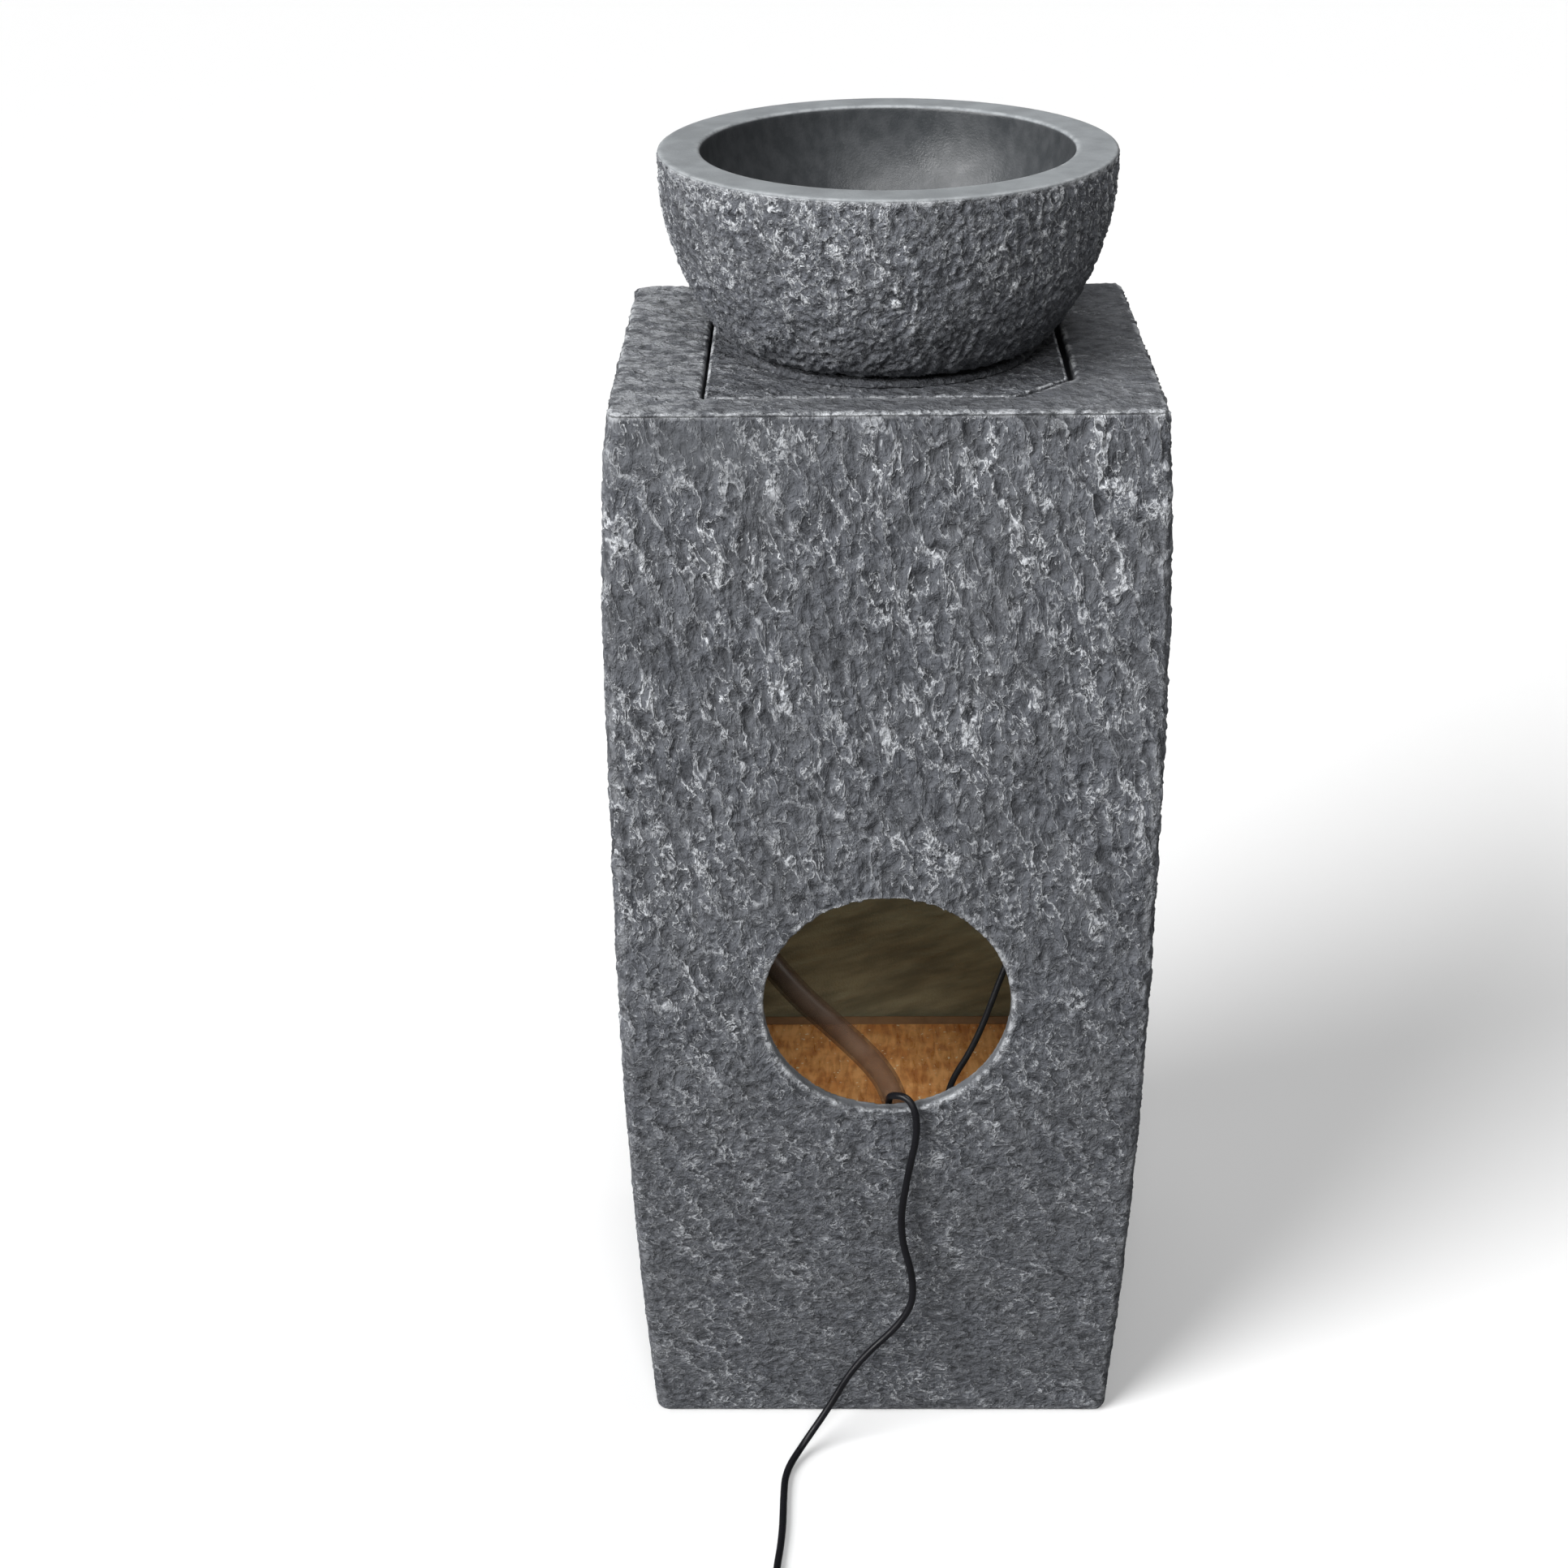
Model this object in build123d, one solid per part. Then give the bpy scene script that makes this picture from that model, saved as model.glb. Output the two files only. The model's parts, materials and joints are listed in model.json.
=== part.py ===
"""Garden fountain: a hollow stone-look pillar, a lid plate with a bowl on it, and a pump with its lead.

Millimetres, +Z up. The origin is the middle of the pillar's foot, and the access hole is on the -Y side.
"""

import math
import os

from build123d import *

# Pillar shell
top_width = 300.0
top_depth = 252.0
belly_width = 316.0
belly_depth = 266.0
foot_width = 291.0
foot_depth = 245.0
pillar_height = 678.0
belly_height = 360.0
shoulder_power = 4
foot_power = 2
wall = 10.0
skirt_wall = 16.0
corner_radius = 8.0
cavity_corner_radius = 6.0
top_edge_radius = 3.0
foot_edge_radius = 7.0
deck_thickness = 26.0
hole_radius = 73.0
hole_height = 314.0
hole_x = 2.0

# Raised floor on a moulded rib
floor_height = 148.0
floor_thickness = 8.0
floor_gap = 0.5
rib_height = 14.0
rib_reach = 14.0
seal_height = 4.0
seal_width = 4.0

# Lid plate, let into the deck with one cut corner
lid_x = 2.0
plate_width = 198.0
plate_depth = 194.0
plate_thickness = 14.0
plate_key = 30.0
plate_gap = 2.5
plate_shift_x = -1.0
plate_shift_y = -1.2
plate_edge_radius = 1.2
plate_ledge = 14.0

# Bowl on its foot disc
bowl_foot_height = 4.0
foot_disc_radius = 86.0
foot_disc_rounding = 2.0
bowl_height = 108.0
rim_radius = 127.6
rim_inner_radius = 103.3
bowl_shoulder_radius = 119.5
bowl_shoulder_height = 51.0
bowl_foot_radius = 89.5
bowl_foot_rounding = 24.0
bowl_floor_thickness = 32.0
bowl_floor_radius = 66.0
bowl_inner_shoulder_radius = 93.0
bowl_inner_shoulder_height = 62.0
rim_edge_radius = 1.6

# Fitting in the middle of the bowl
stem_radius = 10.0
stem_hole_gap = 0.4
stem_bore = 5.5
flange_radius = 17.0
flange_thickness = 4.0
gasket_thickness = 2.0
nut_thickness = 8.0
nut_radius = 17.0
nut_gap = 0.1
thread_below_nut = 4.0
tail_radius = 6.0
tail_bore = 4.2
tail_length = 24.0
tail_ridges = 3
nozzle_bore = 4.0
nozzle_radius = 7.0
nozzle_collar_radius = 9.5
nozzle_collar_height = 6.0
nozzle_height = 34.0
nozzle_head_height = 8.0
nozzle_spigot_length = 14.0
nozzle_spigot_gap = 0.1

# Overflow
overflow_y = -50.0
overflow_radius = 8.0
overflow_bore = 6.4
overflow_flange_radius = 11.5
overflow_nut_radius = 13.0
overflow_top_height = 46.0
overflow_tail = 16.0
cap_wall = 1.8
cap_sleeve = 10.0
cap_crown = 6.0
cap_slots = 8
cap_slot_width = 2.0

# Lamp ring around the fitting
lamp_inner_radius = 21.0
lamp_outer_radius = 36.0
lamp_wall = 2.0
lamp_height = 10.0
lens_thickness = 3.0
board_thickness = 1.6
board_gap = 0.8
lamp_count = 6
lamp_radius = 2.5
lamp_body_height = 2.0
grommet_radius = 4.4
grommet_gap = 0.2
lead_diameter = 4.0
lead_gap = 0.2

# Pump on the raised floor, its shaft along X
pump_x = 2.0
pump_wall_gap = 9.0
pump_length = 48.0
pump_width = 46.0
pump_height = 44.0
pump_edge_radius = 4.0
feet_height = 4.0
feet_radius = 7.0
feet_inset = 10.0
chamber_radius = 14.5
chamber_depth = 14.0
well_radius = 7.2
well_depth = 28.0
magnet_radius = 6.5
magnet_length = 24.0
sleeve_radius = 3.0
sleeve_gap = 0.05
shaft_radius = 1.25
shaft_gap = 0.05
bush_radius = 3.2
bush_length = 3.0
impeller_radius = 12.5
impeller_disc = 2.0
impeller_blade_width = 6.0
impeller_blade_thickness = 1.5
impeller_blades = 6
running_gap = 0.8
cover_thickness = 3.0
cover_margin = 3.0
cover_spigot = 2.0
cover_spigot_wall = 1.6
cover_spigot_gap = 0.15
intake_radius = 8.5
intake_spokes = 3
intake_spoke_width = 2.4
strainer_length = 22.0
strainer_wall = 2.0
strainer_slot_width = 2.4
strainer_slots = 7
strainer_slot_pitch = 5.2
foam_gap = 0.5
dial_radius = 9.0
dial_thickness = 3.0
dial_pin_radius = 2.5
dial_pin_gap = 0.06
dial_grip_width = 3.0
dial_grip_height = 3.0
outlet_x = 3.0
outlet_radius = 6.0
outlet_bore = 4.2
outlet_length = 13.0

# Riser hose
hose_radius = 8.0
hose_bore = 6.1
hose_end_gap = 0.5

# Glands on the pump
power_gland_x = 3.0
power_gland_y = -14.6
power_gland_radius = 5.5
power_gland_tip_radius = 3.4
power_gland_length = 17.0
lamp_gland_x = 39.0
lamp_gland_y = 10.0
lamp_gland_radius = 5.0
lamp_gland_tip_radius = 3.0
lamp_gland_length = 12.0

# Power cord, its put-away coil, tie and plug
cord_diameter = 4.4
coil_x = -25.0
coil_y = -352.0
coil_outer_radius = 41.0
coil_spacing = 5.2
coil_turns_each_way = 3.0
coil_climb_turns = 0.5
coil_exit_run = 24.0
coil_lift = 0.3
tie_thickness = 1.0
tie_width = 10.0
tie_gap = 0.4
tie_angle = 30.0
plug_width = 34.0
plug_thickness = 21.0
plug_length = 34.0
plug_edge_radius = 5.0
plug_boot_length = 18.0
plug_boot_radius = 5.0
plug_boot_tip_radius = 3.3
pin_radius = 2.4
pin_length = 19.0
pin_spacing = 19.0
pin_root = 6.0

# Levels that follow from the sizes above
deck_underside = pillar_height - deck_thickness
floor_underside = floor_height - floor_thickness
rib_underside = floor_underside - rib_height
plate_underside = pillar_height - plate_thickness
bowl_base = pillar_height + bowl_foot_height
rim_level = bowl_base + bowl_height
bowl_floor = bowl_base + bowl_floor_thickness
flange_underside = bowl_floor + gasket_thickness
flange_top = flange_underside + flange_thickness
nut_underside = plate_underside - nut_thickness
stem_end = nut_underside - thread_below_nut
tail_end = stem_end - tail_length
lamp_path_radius = (lamp_inner_radius + lamp_outer_radius) / 2
lamp_base = bowl_floor + lamp_wall
lamp_top = bowl_floor + lamp_height
pump_base = floor_height + feet_height
pump_top = pump_base + pump_height
pump_axis = pump_base + pump_height / 2
cord_radius = cord_diameter / 2
lead_radius = lead_diameter / 2


def side_length(level, top, belly, foot):
    """Outside length of one side of the pillar at a level."""
    if level >= belly_height:
        share = (level - belly_height) / (pillar_height - belly_height)
        return belly - (belly - top) * share**shoulder_power
    share = (belly_height - level) / belly_height
    return belly - (belly - foot) * share**foot_power


def width_at(level):
    return side_length(level, top_width, belly_width, foot_width)


def depth_at(level):
    return side_length(level, top_depth, belly_depth, foot_depth)


def pillar_form(low, high, inset, radius, steps):
    """Solid that follows the pillar's sides from one level to another, set in by inset."""
    sections = []
    for step in range(steps + 1):
        level = low + (high - low) * step / steps
        outline = RectangleRounded(width_at(level) - 2 * inset, depth_at(level) - 2 * inset, radius)
        sections.append(Pos(0, 0, level) * outline)
    return loft(sections)


def keyed_face(width, depth, key):
    """Rectangle with its near right corner cut off."""
    right = width / 2
    back = depth / 2
    corners = [(-right, -back), (right - key, -back), (right, key - back), (right, back), (-right, back)]
    return make_face(Polyline(*corners, close=True))


def disc(radius, low, high, x=0.0, y=0.0):
    """Upright cylinder between two levels."""
    return Pos(x, y, (low + high) / 2) * Cylinder(radius, high - low)


def ring(outer, inner, low, high, x=0.0, y=0.0):
    return disc(outer, low, high, x, y) - disc(inner, low - 1, high + 1, x, y)


def hexagon(radius, low, high, x=0.0, y=0.0):
    return Pos(x, y, low) * extrude(RegularPolygon(radius, 6), high - low)


def along_x(radius, start, end):
    """Cylinder on the pump's shaft line between two places along X."""
    centre = Pos(pump_x + (start + end) / 2, pump_y, pump_axis)
    return centre * Rot(0, 90, 0) * Cylinder(radius, end - start)


def pump_block(start, end, width, height):
    """Box centred on the pump's shaft line between two places along X."""
    return Pos(pump_x + (start + end) / 2, pump_y, pump_axis) * Box(end - start, width, height)


def turned(*points):
    """Solid of revolution about Z from corners given as radius and level."""
    return revolve(Plane.XZ * make_face(Polyline(*points, close=True)), Axis.Z)


def route_radii(points):
    """Radius at each corner of a route: as large as nine tenths of half the shorter run allows."""
    radii = []
    for before, corner, after in zip(points, points[1:], points[2:]):
        run_in = Vector(corner) - Vector(before)
        run_out = Vector(after) - Vector(corner)
        turn = math.radians(run_in.get_angle(run_out))
        radii.append(0.45 * min(run_in.length, run_out.length) / math.tan(turn / 2))
    return radii


def tube(name, points, radius, bore=0.0):
    """Round tube along straight runs joined by tangent arcs."""
    radii = route_radii(points)
    path = FilletPolyline(*points, radius=radii)
    section = Circle(radius)
    if bore > 0:
        section = section - Circle(bore)
    solid = sweep(Plane(origin=path @ 0, z_dir=path % 0) * section, path=path)
    expected = math.pi * (radius**2 - bore**2) * path.length
    print(
        f"{name}: length {path.length:.1f}, radii {min(radii):.1f} to {max(radii):.1f},"
        f" volume over section times length {solid.volume / expected:.4f}"
    )
    return solid


os.makedirs("parts", exist_ok=True)
made = {}
lid = {}

# Pillar shell with the upper hollow, the rib, the skirt hollow, the plate's seat and the access hole
shell = pillar_form(0, pillar_height, 0, corner_radius, 9)
shell = fillet(shell.edges().group_by(Axis.Z)[-1], top_edge_radius)
shell = fillet(shell.edges().group_by(Axis.Z)[0], foot_edge_radius)
shell -= pillar_form(floor_underside, deck_underside, wall, cavity_corner_radius, 8)
shell -= pillar_form(-1, rib_underside, skirt_wall, cavity_corner_radius, 4)
rib_width = width_at(rib_underside) - 2 * wall - 2 * rib_reach
rib_depth = depth_at(rib_underside) - 2 * wall - 2 * rib_reach
rib_opening = RectangleRounded(rib_width, rib_depth, cavity_corner_radius)
shell -= Pos(0, 0, rib_underside - 1) * extrude(rib_opening, rib_height + 2)
seat_key = plate_key + plate_gap * (2 - math.sqrt(2))
seat = keyed_face(plate_width + 2 * plate_gap, plate_depth + 2 * plate_gap, seat_key)
shell -= Pos(lid_x, 0, plate_underside) * extrude(seat, plate_thickness + 1)
through_width = plate_width - 2 * plate_ledge
through_depth = plate_depth - 2 * plate_ledge
through = keyed_face(through_width, through_depth, plate_key)
shell -= Pos(lid_x, 0, deck_underside - 1) * extrude(through, deck_thickness)
hole_reach = belly_depth / 2
hole = Pos(hole_x, -hole_reach, hole_height) * Rot(90, 0, 0) * Cylinder(hole_radius, hole_reach)
shell -= hole
made["pillar_shell"] = shell

# Raised floor and the bead that seals it to the walls
floor_width = width_at(floor_underside) - 2 * wall - 2 * floor_gap
floor_depth = depth_at(floor_underside) - 2 * wall - 2 * floor_gap
floor_face = RectangleRounded(floor_width, floor_depth, cavity_corner_radius)
made["reservoir_floor"] = Pos(0, 0, floor_underside) * extrude(floor_face, floor_thickness)
seal = extrude(floor_face, seal_height)
seal_foot = RectangleRounded(floor_width - 2 * seal_width, floor_depth - 2 * seal_width, cavity_corner_radius)
seal_crest = Pos(0, 0, seal_height) * RectangleRounded(floor_width - 2, floor_depth - 2, cavity_corner_radius)
seal -= loft([seal_foot, seal_crest])
made["reservoir_seal"] = Pos(0, 0, floor_height) * seal

# Lid plate
plate = extrude(keyed_face(plate_width, plate_depth, plate_key), plate_thickness)
plate = fillet(plate.edges().group_by(Axis.Z)[-1], plate_edge_radius)
plate = Pos(plate_shift_x, plate_shift_y, plate_underside) * plate

# Bowl and the disc it stands on
outer_curve = ThreePointArc(
    (bowl_foot_radius, bowl_base),
    (bowl_shoulder_radius, bowl_base + bowl_shoulder_height),
    (rim_radius, rim_level),
)
rim_line = Line((rim_radius, rim_level), (rim_inner_radius, rim_level))
inner_curve = ThreePointArc(
    (rim_inner_radius, rim_level),
    (bowl_inner_shoulder_radius, bowl_base + bowl_inner_shoulder_height),
    (bowl_floor_radius, bowl_floor),
)
floor_line = Polyline(
    (bowl_floor_radius, bowl_floor), (0, bowl_floor), (0, bowl_base), (bowl_foot_radius, bowl_base)
)
bowl_section = make_face(outer_curve + rim_line + inner_curve + floor_line)
bowl = revolve(Plane.XZ * bowl_section, Axis.Z)
bowl = fillet(bowl.edges().group_by(Axis.Z)[-1], rim_edge_radius)
bowl = fillet(bowl.edges().group_by(Axis.Z)[0], bowl_foot_rounding)
foot_disc = disc(foot_disc_radius, pillar_height, bowl_base)
foot_disc = fillet(foot_disc.edges().group_by(Axis.Z)[-1], foot_disc_rounding)

# Holes for the fitting, the overflow and the lamp lead, through bowl, disc and plate alike
for drill_x, drill_y, radius in (
    (0.0, 0.0, stem_radius + stem_hole_gap),
    (0.0, overflow_y, overflow_radius + stem_hole_gap),
    (lamp_path_radius, 0.0, grommet_radius + grommet_gap),
):
    drill = disc(radius, plate_underside - 1, bowl_floor + 1, drill_x, drill_y)
    plate -= drill
    foot_disc -= drill
    bowl -= drill
lid["lid_plate"] = plate
lid["bowl_foot"] = foot_disc
lid["bowl"] = bowl

# Fitting with flange, stem and ridged hose tail
stem = disc(flange_radius, flange_underside, flange_top)
stem += disc(stem_radius, stem_end, flange_underside + 1)
ridge = tail_length / tail_ridges
tail = disc(tail_radius - 0.5, tail_end, stem_end + 1)
for index in range(tail_ridges):
    low = tail_end + index * ridge
    tail += turned((0, low), (tail_radius - 0.8, low), (tail_radius, low + 0.7 * ridge), (0, low + 0.7 * ridge))
stem += tail
stem -= disc(tail_bore, tail_end - 1, flange_top + 1)
spigot_seat = flange_top - nozzle_spigot_length - 1
stem -= disc(stem_bore, spigot_seat, flange_top + 1)
lid["bulkhead_stem"] = stem
lid["bulkhead_gasket"] = ring(flange_radius - 0.5, stem_radius + stem_hole_gap, bowl_floor, flange_underside)
nut = hexagon(nut_radius, nut_underside, plate_underside)
lid["bulkhead_nut"] = nut - disc(stem_radius + nut_gap, nut_underside - 1, plate_underside + 1)

# Bubbler nozzle pushed into the fitting
nozzle_top = flange_top + nozzle_height
nozzle = turned(
    (0, flange_top),
    (nozzle_collar_radius, flange_top),
    (nozzle_collar_radius, flange_top + nozzle_collar_height),
    (nozzle_radius, flange_top + nozzle_collar_height + 2),
    (nozzle_radius, nozzle_top - nozzle_head_height - 2),
    (nozzle_collar_radius, nozzle_top - nozzle_head_height),
    (nozzle_collar_radius - 1, nozzle_top),
    (0, nozzle_top),
)
nozzle += disc(stem_bore - nozzle_spigot_gap, flange_top - nozzle_spigot_length, flange_top + 1)
nozzle -= disc(nozzle_bore, flange_top - nozzle_spigot_length - 1, nozzle_top + 1)
nozzle -= turned(
    (0, nozzle_top - 3), (nozzle_bore, nozzle_top - 3), (nozzle_bore + 2.5, nozzle_top + 0.1), (0, nozzle_top + 0.1)
)
lid["bubbler_nozzle"] = nozzle

# Overflow pipe with flange, gasket, nut and slotted cap
overflow_top = flange_top + overflow_top_height
overflow_end = nut_underside - overflow_tail
overflow = disc(overflow_radius, overflow_end, overflow_top, 0, overflow_y)
overflow += disc(overflow_flange_radius, flange_underside, flange_top, 0, overflow_y)
overflow -= disc(overflow_bore, overflow_end - 1, overflow_top + 1, 0, overflow_y)
lid["overflow_pipe"] = overflow
lid["overflow_gasket"] = ring(
    overflow_flange_radius - 0.5, overflow_radius + stem_hole_gap, bowl_floor, flange_underside, 0, overflow_y
)
overflow_nut = hexagon(overflow_nut_radius, nut_underside, plate_underside, 0, overflow_y)
overflow_nut -= disc(overflow_radius + nut_gap, nut_underside - 1, plate_underside + 1, 0, overflow_y)
lid["overflow_nut"] = overflow_nut
cap_radius = overflow_radius + nut_gap + cap_wall
cap_top = overflow_top + cap_crown
cap = disc(cap_radius, overflow_top - cap_sleeve, cap_top, 0, overflow_y)
cap = fillet(cap.edges().group_by(Axis.Z)[-1], 2.0)
cap -= disc(overflow_radius + nut_gap, overflow_top - cap_sleeve - 1, overflow_top, 0, overflow_y)
cap -= disc(overflow_bore, overflow_top - 1, cap_top - cap_wall, 0, overflow_y)
slot_height = cap_crown - cap_wall
for index in range(cap_slots):
    slot = Pos(cap_radius, 0, overflow_top + slot_height / 2) * Box(2 * cap_radius, cap_slot_width, slot_height)
    cap -= Pos(0, overflow_y, 0) * Rot(0, 0, 360 * index / cap_slots) * slot
lid["overflow_cap"] = cap

# Lamp ring: channel, board, lamps, lens and grommet
channel = ring(lamp_outer_radius, lamp_inner_radius, bowl_floor, lamp_top)
channel -= ring(lamp_outer_radius - lamp_wall, lamp_inner_radius + lamp_wall, lamp_base, lamp_top)
channel -= disc(lead_radius + lead_gap, bowl_floor - 1, lamp_base + 1, lamp_path_radius, 0)
lid["lamp_housing"] = channel
board_outer = lamp_outer_radius - lamp_wall - board_gap
board_inner = lamp_inner_radius + lamp_wall + board_gap
board_top = lamp_base + board_thickness
lid["lamp_board"] = ring(board_outer, board_inner, lamp_base, board_top)
lamps = []
for index in range(lamp_count):
    angle = math.radians(360 * (index + 0.5) / lamp_count)
    lamp_x = lamp_path_radius * math.cos(angle)
    lamp_y = lamp_path_radius * math.sin(angle)
    dome_level = board_top + lamp_body_height
    lamp = disc(lamp_radius, board_top, dome_level, lamp_x, lamp_y)
    dome = Pos(lamp_x, lamp_y, dome_level) * Sphere(lamp_radius)
    dome -= disc(2 * lamp_radius, dome_level - 2 * lamp_radius, dome_level, lamp_x, lamp_y)
    lamps.append(lamp + dome)
lid["lamp_chips"] = Compound(children=[lamp for lamp in lamps])
lens = ring(lamp_outer_radius, lamp_inner_radius, lamp_top, lamp_top + lens_thickness)
lens = fillet(lens.edges().group_by(Axis.Z)[-1], 1.2)
lid["lamp_lens"] = lens
lid["lamp_grommet"] = ring(
    grommet_radius, lead_radius + lead_gap, plate_underside, bowl_floor, lamp_path_radius, 0
)

# The lid and all that stands on it or hangs from it share one axis
for name, shape in lid.items():
    made[name] = Pos(lid_x, 0, 0) * shape

# Pump body: block with impeller chamber, rotor well and outlet
pump_y = pump_width / 2 + pump_wall_gap - depth_at(floor_height) / 2 + wall
body = pump_block(0, pump_length, pump_width, pump_height)
body = fillet(body.edges().filter_by(Axis.X), pump_edge_radius)
body = fillet(body.edges().group_by(Axis.X)[-1], pump_edge_radius - 1)
outlet_place = (pump_x + outlet_x + chamber_depth / 3, pump_y)
body += disc(outlet_radius, pump_top - 1, pump_top + outlet_length, *outlet_place)
body -= disc(outlet_bore, pump_axis, pump_top + outlet_length + 1, *outlet_place)
body -= along_x(chamber_radius, -1, chamber_depth)
body -= along_x(well_radius, chamber_depth - 1, chamber_depth + well_depth)
well_end = chamber_depth + well_depth
body -= along_x(bush_radius, well_end - 1, well_end + bush_length)
made["pump_body"] = body

# Shaft in its two bushes
shaft_start = -cover_thickness
shaft_end = well_end + bush_length
bushes = []
for start in (-cover_thickness, well_end):
    bush = along_x(bush_radius, start, start + bush_length)
    bushes.append(bush - along_x(shaft_radius, start - 1, start + bush_length + 1))
made["pump_bushes"] = Compound(children=[bush for bush in bushes])
made["pump_shaft"] = along_x(shaft_radius, shaft_start, shaft_end)

# Impeller with its sleeve, and the magnet on the sleeve
impeller_start = cover_spigot + running_gap
impeller_back = impeller_start + impeller_blade_width + impeller_disc
impeller = along_x(impeller_radius, impeller_start + impeller_blade_width, impeller_back)
magnet_start = impeller_back + running_gap + 2
magnet_end = magnet_start + magnet_length
impeller += along_x(sleeve_radius, impeller_start, magnet_end)
blade_reach = impeller_radius - 0.5
for index in range(impeller_blades):
    blade = Pos(blade_reach / 2, 0, 0) * Box(blade_reach, impeller_blade_thickness, impeller_blade_width + 1)
    blade = Rot(0, 90, 0) * Rot(0, 0, 360 * index / impeller_blades) * blade
    blade_x = pump_x + impeller_start + (impeller_blade_width + 1) / 2
    impeller += Pos(blade_x, pump_y, pump_axis) * blade
impeller -= along_x(shaft_radius + shaft_gap, impeller_start - 1, magnet_end + 1)
made["pump_impeller"] = impeller
magnet = along_x(magnet_radius, magnet_start, magnet_end)
made["pump_magnet"] = magnet - along_x(sleeve_radius + sleeve_gap, magnet_start - 1, magnet_end + 1)

# Chamber cover with a spoked intake that carries the front bush
strainer_inside_width = pump_width - 2 * strainer_wall
strainer_inside_height = pump_height - 2 * strainer_wall
cover = pump_block(-cover_thickness, 0, pump_width - 4 * cover_margin, pump_height - 4 * cover_margin)
cover = fillet(cover.edges().filter_by(Axis.X), pump_edge_radius)
spigot_radius = chamber_radius - cover_spigot_gap
cover += along_x(spigot_radius, -1, cover_spigot) - along_x(spigot_radius - cover_spigot_wall, -2, cover_spigot + 1)
cover -= along_x(intake_radius, -cover_thickness - 1, 1)
cover += along_x(bush_radius + 1.5, -cover_thickness, 0)
for index in range(intake_spokes):
    spoke = Pos(intake_radius / 2, 0, 0) * Box(intake_radius + 1, intake_spoke_width, cover_thickness)
    spoke = Rot(0, 90, 0) * Rot(0, 0, 360 * index / intake_spokes) * spoke
    cover += Pos(pump_x - cover_thickness / 2, pump_y, pump_axis) * spoke
cover -= along_x(bush_radius, -cover_thickness - 1, 1)
made["pump_chamber_cover"] = cover

# Slotted strainer cover, the foam in it and the flow dial on its end
strainer = pump_block(-strainer_length, 0, pump_width, pump_height)
strainer = fillet(strainer.edges().filter_by(Axis.X), pump_edge_radius)
strainer = fillet(strainer.edges().group_by(Axis.X)[0], pump_edge_radius - 1)
hollow = pump_block(strainer_wall - strainer_length, 1, strainer_inside_width, strainer_inside_height)
strainer -= fillet(hollow.edges().filter_by(Axis.X), pump_edge_radius - strainer_wall)
slot_span = strainer_length - 3 * strainer_wall - 4
slot_start = 2 * strainer_wall + 2 - strainer_length
for index in range(strainer_slots):
    offset = (index - (strainer_slots - 1) / 2) * strainer_slot_pitch
    slot = pump_block(slot_start, slot_start + slot_span, strainer_slot_width, pump_height + 10)
    strainer -= Pos(0, offset, pump_height / 2) * slot
    end_slot = pump_block(-strainer_length - 1, strainer_wall - strainer_length + 1, strainer_slot_width, 9)
    strainer -= Pos(0, offset, dial_radius + 6) * end_slot
    strainer -= Pos(0, offset, -dial_radius - 6) * end_slot
strainer -= along_x(dial_pin_radius + dial_pin_gap, -strainer_length - 1, strainer_wall - strainer_length + 1)
made["pump_strainer"] = strainer
foam_start = strainer_wall - strainer_length + foam_gap
foam = pump_block(foam_start, -cover_thickness - foam_gap, strainer_inside_width - 1, strainer_inside_height - 1)
foam = fillet(foam.edges().filter_by(Axis.X), pump_edge_radius - strainer_wall)
foam -= along_x(dial_pin_radius + 1, foam_start - 1, foam_start + 4)
made["pump_foam"] = foam
dial_face = -strainer_length - 0.3
dial = along_x(dial_radius, dial_face - dial_thickness, dial_face)
dial += pump_block(
    dial_face - dial_thickness - dial_grip_height, dial_face - dial_thickness + 1, dial_grip_width, 1.7 * dial_radius
)
dial += along_x(dial_pin_radius, dial_face - 1, strainer_wall - strainer_length + foam_gap + 1)
made["flow_dial"] = dial

# Suction feet under the pump
feet = []
for foot_x in (feet_inset, pump_length - feet_inset):
    for foot_y in (feet_inset - pump_width / 2, pump_width / 2 - feet_inset):
        foot = turned(
            (0, floor_height + 1.5),
            (feet_radius - 1, floor_height),
            (feet_radius, floor_height),
            (feet_radius - 1, floor_height + 1),
            (3, floor_height + 2.5),
            (3, pump_base),
            (0, pump_base),
        )
        feet.append(Pos(pump_x + foot_x, pump_y + foot_y, 0) * foot)
made["pump_feet"] = Compound(children=[foot for foot in feet])

# Glands on top of the pump
power_place = (pump_x + power_gland_x, pump_y + power_gland_y)
power_gland_top = pump_top + power_gland_length
power_gland = turned(
    (0, pump_top),
    (power_gland_radius, pump_top),
    (power_gland_radius, pump_top + 4),
    (power_gland_tip_radius, power_gland_top),
    (0, power_gland_top),
)
made["power_gland"] = Pos(*power_place, 0) * power_gland
lamp_place = (pump_x + lamp_gland_x, pump_y + lamp_gland_y)
lamp_gland_top = pump_top + lamp_gland_length
lamp_gland = turned(
    (0, pump_top),
    (lamp_gland_radius, pump_top),
    (lamp_gland_radius, pump_top + 3),
    (lamp_gland_tip_radius, lamp_gland_top),
    (0, lamp_gland_top),
)
made["lamp_gland"] = Pos(*lamp_place, 0) * lamp_gland

# Riser hose from the pump's outlet, up the left side, to the fitting's tail
outlet_top = pump_top + outlet_length
hose_route = [
    (*outlet_place, pump_top + hose_end_gap),
    (*outlet_place, outlet_top + 7),
    (1, -85, 238),
    (-22, -77.5, 260),
    (-56, -67, 288),
    (-90, -53, 331),
    (-100, -44, 402),
    (-81, -34, 479),
    (-37, -15, 549),
    (lid_x, 0, tail_end - 26),
    (lid_x, 0, stem_end - hose_end_gap),
]
made["riser_hose"] = tube("riser_hose", hose_route, hose_radius, hose_bore)

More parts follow.
